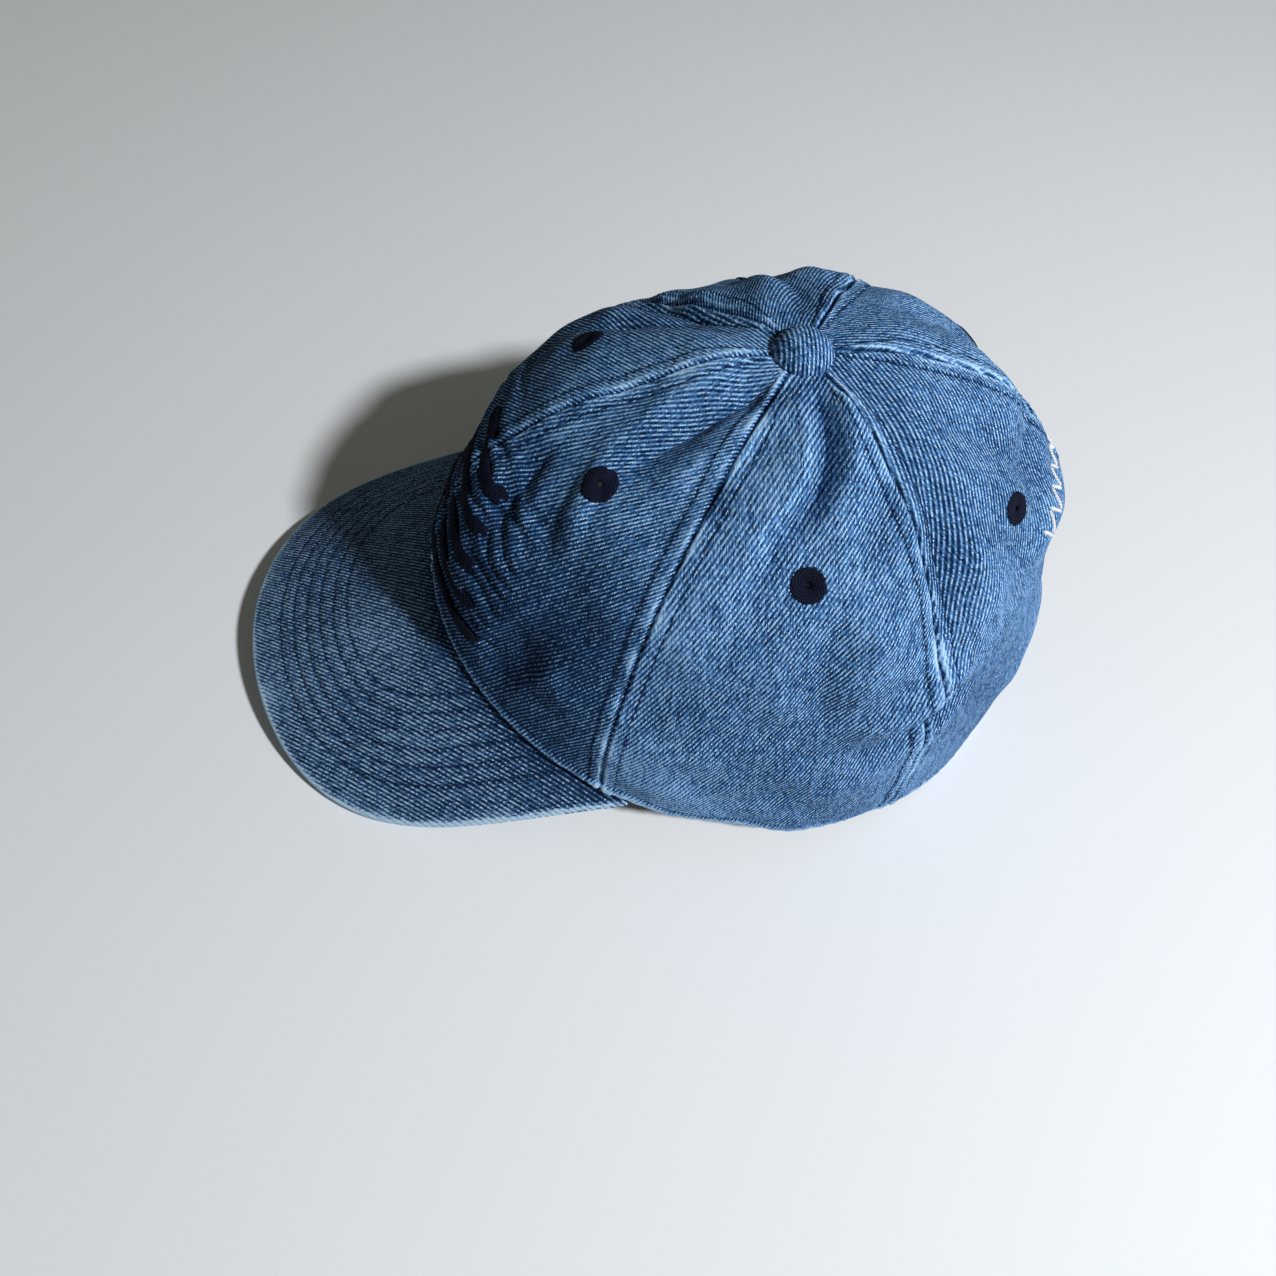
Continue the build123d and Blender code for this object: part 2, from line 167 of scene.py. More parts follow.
def skin(theta, t):
    """Smooth outer face; theta from the front to the wearer's left, t from 0 at the rim to 1."""
    theta, t = np.broadcast_arrays(theta, t)
    shrink, rise = exponents(theta)
    k = np.clip(np.cos(t * pi / 2), 0, 1) ** shrink
    m = np.clip(np.sin(t * pi / 2), 0, 1) ** rise
    y = -np.where(np.cos(theta) > 0, FRONT_LENGTH, REAR_LENGTH) * np.cos(theta)
    z = rim_lift(theta)
    return np.stack([HALF_WIDTH * np.sin(theta) * k, APEX_Y + (y - APEX_Y) * k,
                     z + (CROWN_HEIGHT - z) * m], -1)


def normal(theta, t, step=2e-3):
    theta, t = np.broadcast_arrays(theta, t)
    along = skin(theta + step, t) - skin(theta - step, t)
    up = skin(theta, np.clip(t + step, 0, 0.9999)) - skin(theta, np.clip(t - step, 0, 1))
    return unit(np.cross(along, up))


def rate(theta, t, step=2e-3):
    """Millimetres along a row for each radian."""
    return norm(skin(theta + step, t) - skin(theta - step, t)) / (2 * step)


def at_height(theta, height):
    share = np.clip(height / (CROWN_HEIGHT - rim_lift(theta)), 1e-7, 1)
    return np.arcsin(share ** (1 / exponents(theta)[1])) * 2 / pi


def at_radius(theta, radius):
    share = radius / from_axis(skin(theta, 0.0))
    return np.arccos(share ** (1 / exponents(theta)[0])) * 2 / pi


def locate(x, z):
    """The crown angle and t of a point of the rear, seen from behind."""
    theta = pi - np.arcsin(x / HALF_WIDTH)
    for _ in range(14):
        t = at_height(theta, z - rim_lift(theta))
        k = np.cos(t * pi / 2) ** exponents(theta)[0]
        theta = pi - np.arcsin(np.clip(x / (HALF_WIDTH * k), -1, 1))
    return theta, t


# ---- folds and dents of the worn cloth
# Each fold: points (degrees, t) along it, height in mm (negative for a valley), half width in
# mm, and how sharp its crest is: 1 is a crease, 2 a soft swell.
FOLDS = [
    ([(96, .95), (95, .90), (96, .84), (93, .77), (87, .69), (80, .64), (76, .53)], -5.0, 2.5, 1.3),
    ([(80, .93), (86, .86), (86, .80), (82, .72), (74, .64)], 2.4, 6.0, 2),
    ([(110, .93), (108, .85), (104, .76), (97, .68), (92, .60)], 3.6, 4.6, 1.7),
    ([(48, .95), (44, .87), (38, .79), (33, .70), (30, .59)], -5.2, 4.6, 1.1),
    ([(50, .84), (46, .74), (43, .64)], 1.6, 5.5, 2),
    ([(42, .16), (30, .20)], -5.0, 22.0, 2),
    ([(34, .52), (26, .50)], 2.2, 17.0, 2),
    ([(10, .52), (12, .46), (16, .39), (18, .33)], -2.6, 3.6, 1.4),
    ([(94, .50), (93, .42), (93, .34), (95, .26)], -2.4, 6.0, 1.4),
    ([(82, .84), (78, .78), (70, .61), (66, .49), (64, .38)], 2.4, 8.5, 2),
    ([(108, .62), (104, .48), (104, .34)], 2.0, 9.0, 2),
    ([(126, .36), (118, .34), (110, .29), (99, .25)], 3.0, 4.8, 1.8),
    ([(128, .28), (118, .26), (110, .21), (100, .18)], -3.2, 5.0, 1.6),
    ([(125, .74), (121, .58), (119, .42)], -2.8, 4.6, 1.5),
    ([(133, .66), (130, .50), (131, .36)], 1.8, 8.0, 2),
    ([(-56, .50), (-55, .60), (-50, .75), (-53, .90)], -3.6, 4.2, 1.3),
    ([(-36, .50), (-41, .62), (-41, .73), (-33, .87)], -2.6, 3.6, 1.3),
    ([(-74, .88), (-85, .79), (-95, .70), (-108, .60)], 2.6, 8.0, 2),
    ([(-100, .90), (-96, .74), (-88, .55)], -3.4, 4.4, 1.4),
    ([(-122, .70), (-119, .50), (-121, .34)], -2.4, 5.0, 1.5),
    ([(-90, .48), (-92, .34), (-88, .22)], -2.0, 6.5, 1.6),
    ([(-30, .18), (-42, .16)], -3.0, 20.0, 2),
    ([(58, .22), (68, .17), (80, .18)], 1.3, 6.0, 1.6),
    ([(148, .45), (163, .44), (180, .43), (197, .44)], 2.8, 6.5, 2),
    ([(153, .56), (168, .60), (184, .59)], -2.2, 5.5, 1.6),
    ([(150, .80), (158, .66), (162, .52)], -2.2, 5.5, 1.5),
    ([(-146, .78), (-156, .64), (-160, .50)], -2.0, 6.0, 1.5),
]


def fold_height(place, fold):
    path, height, width, sharpness = fold
    corners = np.array(path, dtype=float)
    fine = np.linspace(0, len(path) - 1, 10 * (len(path) - 1) + 1)
    knots = np.arange(len(path))
    theta = np.interp(fine, knots, np.radians(corners[:, 0]))
    share = np.interp(fine, knots, corners[:, 1])
    line = skin(theta, share)
    for _ in range(12):
        line[1:-1] = (line[:-2] + 2 * line[1:-1] + line[2:]) / 4
    start, step = line[:-1], np.diff(line, axis=0)
    flat = place.reshape(-1, 3)
    reach = 3.4 * width
    near = np.all((flat > line.min(0) - reach) & (flat < line.max(0) + reach), axis=1)
    offset = flat[near][:, None] - start
    along = np.clip((offset * step).sum(-1) / (step * step).sum(-1), 0, 1)
    gap = norm(offset - along[..., None] * step)
    best = gap.argmin(1)
    rows = np.arange(len(best))
    share = (best + along[rows, best]) / len(step)
    gap = gap[rows, best] / width
    swell = np.sin(pi * np.clip(share, 0.02, 0.98)) ** 0.6
    result = np.zeros(len(flat))
    result[near] = height * swell * (np.exp(-gap ** sharpness) - 0.25 * hill(gap - 2.0, 0.8))
    return result.reshape(place.shape[:-1])


def sink(theta, t):
    """How far all layers of the crown stand out from the smooth surface."""
    theta, t = np.broadcast_arrays(theta, t)
    place = skin(theta, t)
    angle = np.abs(wrap(theta))
    height = place[..., 2] - rim_lift(theta)
    total = 0.75 * waves(place, 46, 11) + 0.28 * waves(place, 17, 12)
    for fold in FOLDS:
        total += fold_height(place, fold)
    total += 1.6 * hill(arch_gap(place) - 11, 5)
    over_brim = 1 - smooth(radians(60), radians(74), angle)
    total *= 1 - over_brim * (1 - smooth(2, 18, height))
    total += 1.4 * over_brim * hill(height, 4)
    by_strap = smooth(radians(112), radians(124), angle)
    total *= 1 - 0.8 * by_strap * (1 - smooth(24, 38, height))
    flutter = 0.65 * waves(place * [1, 1, 0.3], 34, 13) * hill(height, 10)
    total += flutter * (1 - over_brim) * (1 - 0.75 * by_strap)
    return total * smooth(8, 19, from_axis(place))


def stitch_gap(radius):
    """The rows beside a seam draw together towards the button."""
    return SEAM_STITCH_GAP * np.clip(radius / 26, 0.3, 1)


def seam_place(theta, t):
    """Distance to the nearest seam, the way up along it, and which seam it is."""
    seams, shares = list(SEAMS.values()), np.linspace(0, 1, 240)
    per_radian = rate(theta, t)
    gaps = np.stack([np.abs(wrap(theta - seam)) * per_radian for seam in seams])
    climbs = np.stack([np.interp(t, shares, travelled(skin(seam, shares))) for seam in seams])
    nearest = gaps.argmin(0)
    return gaps.min(0), np.take_along_axis(climbs, nearest[None], 0)[0], nearest


def arch_gap(place):
    """Distance from the edge of the rear opening; large away from it."""
    x, z = np.abs(place[..., 0]), place[..., 2] - ARCH_STRAIGHT
    scale = np.maximum(np.hypot(x / ARCH_HALF, z / ARCH_ROUND), 1e-6)
    gap = np.where(z > 0, (scale - 1) * np.hypot(x, z) / scale, x - ARCH_HALF)
    return np.where(place[..., 1] > 30, gap, 99.0)


def relief(theta, t):
    """Height of the outer face over the layers: seams, hems and what the sewing pulls in."""
    theta, t = np.broadcast_arrays(theta, t)
    place = skin(theta, t)
    height = place[..., 2] - rim_lift(theta)
    gap, climb, nearest = seam_place(theta, t)
    radius = from_axis(place)
    line = stitch_gap(radius)
    phase = 1.6 * waves(place, 22, 21)
    total = 0.40 * (1 - smooth(line - 0.2, line + 1.0, gap))
    total += 0.30 * hill(gap - 1.25, 0.6) * (0.6 + 0.4 * np.sin(tau * climb / 1.9 + phase))
    total -= 0.85 * hill(gap, 0.6)
    total -= 0.50 * hill(gap - line, 0.45) * (0.75 + 0.25 * np.cos(tau * climb / STITCH_PITCH))
    total += 0.13 * np.sin(tau * climb / 2.3 + phase + nearest) * hill(gap - 0.75 * line, 1.7)
    opening = arch_gap(place)
    total += 0.3 * (1 - smooth(ARCH_STITCH_GAP - 1, ARCH_STITCH_GAP + 1, opening))
    total -= 0.45 * hill(opening - ARCH_STITCH_GAP, 0.5)
    around = theta * 80
    total += 0.25 * (1 - smooth(3.4, 4.8, height)) * (1 + 0.4 * np.sin(tau * around / 4.3 + phase))
    total -= 0.45 * hill(height - RIM_STITCH_HEIGHT, 0.55)
    front = 1 - smooth(radians(27), radians(33), np.abs(wrap(theta)))
    window = front * smooth(.05, .10, t) * (1 - smooth(.41, .48, t))
    pull = np.sin(tau * height / 5.2 + 1.3 * waves(place, 22, 22))
    total += 0.5 * window * pull
    return total * smooth(3.5, 9, radius)


def raised(theta, t, height):
    return skin(theta, t) + normal(theta, t) * height[..., None]


def layer(theta, t, depth):
    """A point of the worn crown this deep in from its outer face, without the sewing's relief."""
    return raised(theta, t, sink(theta, t) - depth)


def face(theta, t):
    """A point on the visible outer face."""
    return raised(theta, t, sink(theta, t) + relief(theta, t))


# ---- meshes
def to_metres(points):
    return (points + [0, ROW_SHIFT, 0]) * 0.001


def make_object(name, points, faces, materials, uv, wear=None, inside=None):
    mesh = bpy.data.meshes.new(name)
    mesh.from_pydata(to_metres(points).tolist(), [], faces)
    corners = np.empty(len(mesh.loops), dtype=np.int32)
    mesh.loops.foreach_get("vertex_index", corners)
    mesh.uv_layers.new(name="cloth").data.foreach_set("uv", uv[corners].ravel() / 10)
    worn = mesh.attributes.new("wear", "FLOAT", "POINT")
    if wear is not None:
        worn.data.foreach_set("value", wear.ravel())
    for material in materials:
        mesh.materials.append(material)
    if len(materials) > 1:
        mesh.polygons.foreach_set("material_index", inside)
    mesh.polygons.foreach_set("use_smooth", [True] * len(mesh.polygons))
    mesh.update()
    obj = bpy.data.objects.new(name, mesh)
    bpy.context.scene.collection.objects.link(obj)
    return obj


def grid_faces(index, after, keep=None):
    """Quads from each row of point numbers to the next, after holding each point's neighbour."""
    quads = np.stack([index[:-1], index[1:], after[1:], after[:-1]], -1)
    return (quads if keep is None else quads[keep]).reshape(-1, 4).tolist()


def closed_rings(columns, count, start=0):
    """Point numbers of closed rings laid one after another, and of each point's neighbour."""
    index = start + np.arange(columns * count).reshape(columns, count)
    return index, np.roll(index, -1, axis=1)


def shell(name, outer, inner, uv, wear, materials, rolls=4, keep=None):
    """Closed cloth between two grids of points, with rounded low and high edges."""
    columns, rows = outer.shape[:2]
    thick = (outer - inner) / 2
    middle = (outer + inner) / 2
    angles = pi * np.arange(1, rolls + 1) / (rolls + 1)
    edges = []
    for row, sense in ((-1, -1), (0, 1)):
        half, centre = thick[:, row], middle[:, row]
        sideways = np.gradient(outer[:, row], axis=0)
        away = sense * unit(np.cross(sideways, half)) * norm(half)[:, None]
        edges.append(np.stack([centre - sense * half * cos(a) + away * sin(a) for a in angles], 1))
    loop = np.concatenate([outer, edges[0], inner[:, ::-1], edges[1]], 1)
    source = np.concatenate([np.arange(rows), np.full(rolls, rows - 1), np.arange(rows)[::-1],
                             np.zeros(rolls, int)])
    count = loop.shape[1]
    index, after = closed_rings(columns, count)
    solid = np.ones((columns - 1, count), bool)
    inner_start = rows + rolls
    if keep is not None:
        solid[:, :rows - 1] = keep
        solid[:, inner_start:inner_start + rows - 1] = keep[:, ::-1]
    faces = grid_faces(index, after, solid)
    is_inner = np.zeros(count, bool)
    is_inner[inner_start:inner_start + rows - 1] = True
    inside = np.broadcast_to(is_inner, solid.shape)[solid].astype(int).tolist()
    front, back = index[:, :rows], index[:, inner_start:inner_start + rows][:, ::-1]
    walls = grid_faces(front[0], back[0]) + grid_faces(front[-1, ::-1], back[-1, ::-1])
    high = list(range(rows - 1, inner_start + 1))
    low = list(range(inner_start + rows - 1, count)) + [0]
    for numbers in (high, low):
        walls += [index[0, numbers].tolist(), index[-1, numbers[::-1]].tolist()]
    if keep is not None:
        walls += hole_walls(front, back, keep)
    return make_object(name, loop.reshape(-1, 3), faces + walls, materials, uv[:, source].reshape(-1, 2),
                       None if wear is None else wear[:, source], inside + [0] * len(walls))


def hole_walls(front, back, keep):
    """Joins the two faces round cells that were left out."""
    walls = []
    for i, j in np.argwhere(~keep):
        cell = [(i, j), (i + 1, j), (i + 1, j + 1), (i, j + 1)]
        beyond = [(i, j - 1), (i + 1, j), (i, j + 1), (i - 1, j)]
        for side in range(4):
            if keep[beyond[side]]:
                a, b = cell[side], cell[(side + 1) % 4]
                walls.append([int(front[a]), int(front[b]), int(back[b]), int(back[a])])
    return walls


# ---- stitches
def stitches(path, up, length=STITCH, pitch=STITCH_PITCH, radius=THREAD_RADIUS, proud=0.06):
    """Points, faces and flat places of separate stitches along a path that lies on the cloth."""
    travel = travelled(path)
    count = int((travel[-1] - length) // pitch)
    shares = np.array([0.0, 0.12, 0.35, 0.65, 0.88, 1.0])
    drop = np.array([-0.42, -0.05, proud, proud, -0.05, -0.42])
    thick = np.array([0.55, 0.9, 1.0, 1.0, 0.9, 0.55]) * radius
    where = pitch * np.arange(count)[:, None] + shares * length
    lift = unit(along_path(up, travel, where))
    line = along_path(path, travel, where) + lift * drop[:, None]
    forward = unit(np.gradient(line, axis=1))
    side = unit(np.cross(forward, lift))
    lift = np.cross(side, forward)
    corner = tau * np.arange(6)[:, None] / 6
    around = side[:, :, None] * np.cos(corner) + lift[:, :, None] * np.sin(corner)
    ring = line[:, :, None] + thick[:, None, None] * around
    index = np.arange(count * 36).reshape(count, 6, 6)
    after = np.roll(index, -1, axis=2)
    faces = grid_faces(index.swapaxes(0, 1), after.swapaxes(0, 1))
    faces += index[:, 0].tolist() + index[:, -1, ::-1].tolist()
    flat = np.broadcast_to(pairs(shares[:, None] * length, corner[:, 0] * 0.3), (count, 6, 6, 2))
    return ring.reshape(-1, 3), faces, flat.reshape(-1, 2)


def merged(name, parts, materials):
    points, faces, flat, total = [], [], [], 0
    for part_points, part_faces, part_uv in parts:
        points.append(part_points)
        faces += [[corner + total for corner in one] for one in part_faces]
        flat.append(part_uv)
        total += len(part_points)
    return make_object(name, np.concatenate(points), faces, materials, np.concatenate(flat))


def satin_bar(path, up, half_width, height, pitch=0.62):
    """A raised bar of side-by-side threads along a path, tapering at both ends."""
    travel = travelled(path)
    count = int(travel[-1] / pitch * 4)
    where = np.linspace(0, travel[-1], count)
    line = along_path(path, travel, where)
    lift = unit(along_path(up, travel, where))
    side = unit(np.cross(unit(np.gradient(line, axis=0)), lift))
    ends = np.clip(np.minimum(where, travel[-1] - where) / (1.3 * half_width), 0.02, 1)
    thread = np.arange(count) // 4
    draw = np.random.default_rng(count)
    width = half_width * np.sqrt(1 - (1 - ends) ** 2)
    width *= 1 + 0.05 * draw.normal(size=thread[-1] + 1)[thread]
    uneven = 1 + 0.4 * draw.normal(size=thread[-1] + 1)[thread]
    ridge = 0.09 * (1 - np.cos(tau * np.arange(count) / 4)) * uneven
    section = np.linspace(pi, 0, 11)
    rise = (height * (0.35 + 0.65 * ends) + ridge)[:, None] * np.sin(section) ** 0.7 - 0.25
    across = np.concatenate([np.cos(section), np.cos(section[1:-1])[::-1]])
    rise = np.concatenate([rise, np.full((count, 9), -0.6)], 1)
    rings = line[:, None] + side[:, None] * (width[:, None] * across)[..., None]
    rings += lift[:, None] * rise[..., None]
    index, after = closed_rings(count, len(across))
    faces = grid_faces(index, after) + [index[0].tolist(), index[-1, ::-1].tolist()]
    flat = pairs(where[:, None], np.arange(len(across)) * 0.4)
    return rings.reshape(-1, 3), faces, flat.reshape(-1, 2)


# ---- materials
def arithmetic(operation):
    return lambda self, other: self.shader.math(operation, self, other)


class Value:
    """A socket of a material under construction, for use in ordinary arithmetic."""

    def __init__(self, shader, socket):
        self.shader, self.socket = shader, socket

    __add__ = __radd__ = arithmetic("ADD")
    __sub__ = arithmetic("SUBTRACT")
    __mul__ = __rmul__ = arithmetic("MULTIPLY")
    __truediv__ = arithmetic("DIVIDE")
    __mod__ = arithmetic("FLOORED_MODULO")


class Shader:
    """A material under construction. Numbers given here go on the shader's own sockets."""

    def __init__(self, name, **constants):
        self.material = bpy.data.materials.new(name)
        self.material.use_nodes = True
        self.tree = self.material.node_tree
        self.main = self.tree.nodes["Principled BSDF"]
        for key, value in constants.items():
            self.main.inputs[key.replace("_", " ")].default_value = value

    def node(self, kind, inputs=(), **settings):
        node = self.tree.nodes.new("ShaderNode" + kind)
        for key, value in settings.items():
            setattr(node, key, value)
        for key, value in dict(inputs).items():
            self.put(node.inputs[key], value)
        return node

    def put(self, socket, value):
        if isinstance(value, Value):
            self.tree.links.new(value.socket, socket)
        else:
            socket.default_value = value

    def output(self, output, kind, inputs=(), **settings):
        return Value(self, self.node(kind, inputs, **settings).outputs[output])

    def math(self, operation, *values):
        return self.output(0, "Math", enumerate(values), operation=operation)

    def arch(self, share):
        """Half a sine wave: nothing at 0 and 1, most between them."""
        return self.math("SINE", share * pi)

    def cells(self, value):
        """The whole number and the share left over."""
        return self.math("FLOOR", value), self.math("FRACT", value)

    def noise(self, vector, scale, detail=2.0, rough=0.5):
        inputs = {"Vector": vector, "Scale": scale, "Detail": detail, "Roughness": rough}
        return self.output("Fac", "TexNoise", inputs)

    def vector(self, x, y, z=0.0):
        return self.output(0, "CombineXYZ", {"X": x, "Y": y, "Z": z})

    def random(self, x, y, z=0.0):
        return self.output("Value", "TexWhiteNoise", {"Vector": self.vector(x, y, z)})

    def ramp(self, value, stops):
        node = self.node("ValToRGB", {"Fac": value})
        ramp = node.color_ramp
        while len(ramp.elements) < len(stops):
            ramp.elements.new(0.5)
        for element, (place, colour) in zip(ramp.elements, stops):
            element.position = place
            element.color = (*colour, 1.0)
        return Value(self, node.outputs[0])

    def place(self):
        """A point of the object, and its coordinates, in metres."""
        place = self.output("Object", "TexCoord")
        split = self.node("SeparateXYZ", {"Vector": place})
        return place, [Value(self, output) for output in split.outputs]

    def coordinates(self):
        """A point of the flat cloth, and the millimetres across and along it."""
        cloth = self.output(0, "UVMap", uv_map="cloth")
        split = self.node("SeparateXYZ", {"Vector": cloth})
        return cloth, Value(self, split.outputs[0]) * 10.0, Value(self, split.outputs[1]) * 10.0

    def done(self, colour, roughness, height, distance):
        self.put(self.main.inputs["Base Color"], colour)
        if roughness is not None:
            self.put(self.main.inputs["Roughness"], roughness)
        bump = self.output(0, "Bump", {"Height": height, "Distance": distance, "Strength": 1.0})
        self.put(self.main.inputs["Normal"], bump)
        return self.material


def denim(name, stops, weft_share=0.30):
    """Three-up-one-down twill of dyed warp over pale weft, washed and worn."""
    s = Shader(name, Roughness=0.95, Specular_IOR_Level=0.08)
    cloth, across, along = s.coordinates()
    u = across / WARP_PITCH + 1.6 * s.noise(cloth, 1.3, 3.0)
    v = along / WEFT_PITCH + 0.9 * s.noise(s.vector(along, across), 0.11)
    (end, end_share), (pick, pick_share) = s.cells(u), s.cells(v)
    step = (end - pick) % 4.0
    weft = s.math("LESS_THAN", step, 0.5)
    travel = (pick_share + 3.0 - step) / 3.0
    warp_height = s.math("POWER", s.arch(end_share), 0.6) * (0.5 * s.arch(travel) + 0.5)
    height = warp_height * (weft * -1.0 + 1.0) + 0.35 * s.arch(pick_share) * weft
    rib = s.math("COSINE", (u - v) * (pi / 2))
    slanted = s.math("FLOOR", (pick - end) / 4.0)
    speck, fleck = s.random(end, slanted), s.random(end, pick, 3.0)
    slub = s.noise(s.vector(3.7 * end, 0.07 * along), 1.0, 1.0)
    streak = s.noise(s.vector(0.45 * across, 0.05 * along), 1.0)
    cloud = s.noise(cloth, 0.28, 3.0, 0.6)
    blotch = s.noise(cloth, 1.6, 3.0, 0.6)
    # The wear attribute also carries painted shade: on the lower front of the crown, and on the brim
    # towards and along the crown.
    wear = s.output("Fac", "Attribute", attribute_name="wear")
    tone = 0.30 * cloud + 0.22 * blotch + 0.28 * slub + 0.24 * streak
    tone += 0.42 * speck + 0.36 * fleck + 0.20 * rib - 0.56
    tone += weft * (0.40 * fleck + (weft_share - 0.2)) + (0.5 * warp_height + 0.5) * wear
    full = height + 0.5 * rib + 0.5 * fleck + 0.35 * s.noise(cloth, 90.0)
    return s.done(s.ramp(tone, stops), None, full, 0.00020)


def plain_weave(name, dark, light, yarn=0.5, stripe=0.0, gloss=0.9):
    s = Shader(name, Specular_IOR_Level=0.25, Sheen_Weight=0.1)
    cloth, across, along = s.coordinates()
    (end, end_share), (pick, pick_share) = s.cells(across / yarn), s.cells(along / yarn)
    over = (end + pick) % 2.0
    height = s.arch(end_share) * over + s.arch(pick_share) * (over * -1.0 + 1.0)
    slub = s.noise(s.vector(2.9 * end, 0.1 * along), 1.0, 1.0)
    cloud = s.noise(cloth, 0.5, 3.0)
    line = s.math("SINE", across * (tau / 3.0))
    tone = 0.25 * s.random(end, pick) + 0.3 * slub + 0.4 * cloud + stripe * line + 0.12 * height - 0.18
    rough = 0.12 * cloud + (gloss - 0.06)
    return s.done(s.ramp(tone, [(0.1, dark), (0.9, light)]), rough, height, 0.00014)


def thread(name, dark, light, gloss, shine=0.06):
    """Two-ply sewing thread: the plies show as slanting ridges."""
    s = Shader(name, Specular_IOR_Level=shine)
    _, along, around = s.coordinates()
    place, _ = s.place()
    twist = s.math("SINE", (along / 0.9 + around / 1.9) * tau)
    fibre = s.noise(place, 2600.0, 3.0)
    tone = 0.16 * twist + 0.5 * fibre + 0.4 * s.noise(place, 160.0) + 0.05
    colour = s.ramp(tone, [(0.2, dark), (0.95, light)])
    return s.done(colour, 0.25 * fibre + (gloss - 0.1), twist + 1.5 * fibre, 0.00007)


def metal(name, dark, light, rough):
    s = Shader(name, Metallic=1.0)
    place, (x, y, z) = s.place()
    scratch = s.noise(s.vector(x, y, 12.0 * z), 900.0, 3.0, 0.6)
    tarnish = s.noise(place, 170.0, 4.0, 0.65)
    colour = s.ramp(1.1 * tarnish + 0.3 * scratch - 0.3, [(0.25, dark), (0.7, light)])
    return s.done(colour, -0.35 * tarnish + (rough + 0.2), 0.5 * scratch + tarnish, 0.00006)


def board(name):
    s = Shader(name, Specular_IOR_Level=0.4)
    place, _ = s.place()
    grain = s.noise(place, 1400.0, 3.0)
    tone = 0.3 * grain + 0.7 * s.noise(place, 60.0, 3.0)
    colour = s.ramp(tone, [(0.3, (0.42, 0.43, 0.43)), (0.75, (0.58, 0.59, 0.59))])
    return s.done(colour, 0.2 * grain + 0.4, grain, 0.00005)


def floor_material():
    s = Shader("pale_floor", Specular_IOR_Level=0.15)
    place, _ = s.place()
    grain = s.noise(place, 700.0, 3.0)
    tone = 0.15 * grain + 0.6 * s.noise(place, 3.0) + 0.1
    colour = s.ramp(tone, [(0.2, (0.70, 0.72, 0.745)), (0.8, (0.74, 0.755, 0.775))])
    return s.done(colour, 0.1 * grain + 0.75, grain, 0.00003)


CROWN_STOPS = [(0.0, (0.005, 0.020, 0.062)), (0.25, (0.024, 0.082, 0.202)),
               (0.50, (0.074, 0.198, 0.430)), (0.75, (0.165, 0.355, 0.670)), (1.0, (0.42, 0.65, 0.90))]
# Painted shade: the brim's denim is a darker copy of the crown's, standing for the shade on the brim.
BRIM_SHADED_STOPS = [(0.0, (0.004, 0.016, 0.052)), (0.25, (0.020, 0.060, 0.145)),
              (0.50, (0.060, 0.138, 0.275)), (0.75, (0.140, 0.265, 0.445)), (1.0, (0.44, 0.62, 0.80))]
INSIDE_STOPS = [(0.0, (0.12, 0.18, 0.28)), (0.4, (0.28, 0.36, 0.47)), (1.0, (0.60, 0.66, 0.72))]
CROWN_DENIM = denim("washed_denim", CROWN_STOPS)
BRIM_SHADED_DENIM = denim("washed_denim_brim_painted_shade", BRIM_SHADED_STOPS)
INSIDE_DENIM = denim("denim_wrong_side", INSIDE_STOPS, weft_share=0.1)
FACING_CLOTH = plain_weave("cotton_facing", (0.16, 0.24, 0.38), (0.36, 0.46, 0.60))
TAPE_CLOTH = plain_weave("woven_seam_tape", (0.035, 0.055, 0.12), (0.14, 0.19, 0.31), 0.42, 0.1)
BAND_CLOTH = plain_weave("sweatband_cotton", (0.10, 0.15, 0.25), (0.26, 0.35, 0.50), 0.48)
LABEL_CLOTH = plain_weave("woven_label", (0.66, 0.66, 0.63), (0.85, 0.85, 0.82), 0.3, 0.02, 0.6)
NAVY_THREAD = thread("navy_thread", (0.004, 0.009, 0.026), (0.018, 0.034, 0.085), 0.8)
EYELET_THREAD = thread("eyelet_thread_satin", (0.002, 0.003, 0.008), (0.011, 0.014, 0.034), 0.75, 0.05)
WHITE_THREAD = thread("white_thread_satin", (0.50, 0.52, 0.53), (0.86, 0.87, 0.88), 0.5, 0.3)
BRASS = metal("worn_antique_brass", (0.20, 0.13, 0.055), (0.62, 0.48, 0.26), 0.34)
STEEL = metal("stamped_steel", (0.30, 0.30, 0.30), (0.66, 0.66, 0.66), 0.30)
BOARD = board("moulded_brim_board")


# ---- camera, floor and light
CAMERA_PLACE = (0.18516, -0.03493, 0.32823)
CAMERA_RIGHT = Vector((0.0784, 0.9948, 0.0656))
CAMERA_BACK = Vector((0.4797, -0.0953, 0.8722))
LENS = 30.44
KEY_LIGHT = Vector((0.530, 0.560, 0.939)), (0.10, 0.10), 16.0, (0.96, 0.975, 1.0)
FILL_LIGHT = Vector((0.25, 1.60, 0.12)), (1.2, 0.2), 8.0, (0.95, 0.98, 1.0)
WORLD_COLOUR, WORLD_STRENGTH = (1.0, 0.99, 0.82, 1.0), 0.105


def make_camera():
    data = bpy.data.cameras.new("camera")
    data.lens, data.sensor_width, data.clip_start = LENS, 36.0, 0.01
    camera = bpy.data.objects.new("camera", data)
    back = CAMERA_BACK.normalized()
    right = (CAMERA_RIGHT - CAMERA_RIGHT.dot(back) * back).normalized()
    up = back.cross(right)
    turn = Matrix((right, up, back)).transposed().to_4x4()
    camera.matrix_world = Matrix.Translation(CAMERA_PLACE) @ turn
    bpy.context.scene.collection.objects.link(camera)
    bpy.context.scene.camera = camera


def make_light(name, shape, place, size, power, colour):
    data = bpy.data.lights.new(name, "AREA")
    data.energy, data.color, data.shape = power, colour, shape
    data.size, data.size_y = size
    light = bpy.data.objects.new(name, data)
    turn = place.to_track_quat("Z", "Y").to_matrix().to_4x4()
    light.matrix_world = Matrix.Translation(place) @ turn
    bpy.context.scene.collection.objects.link(light)


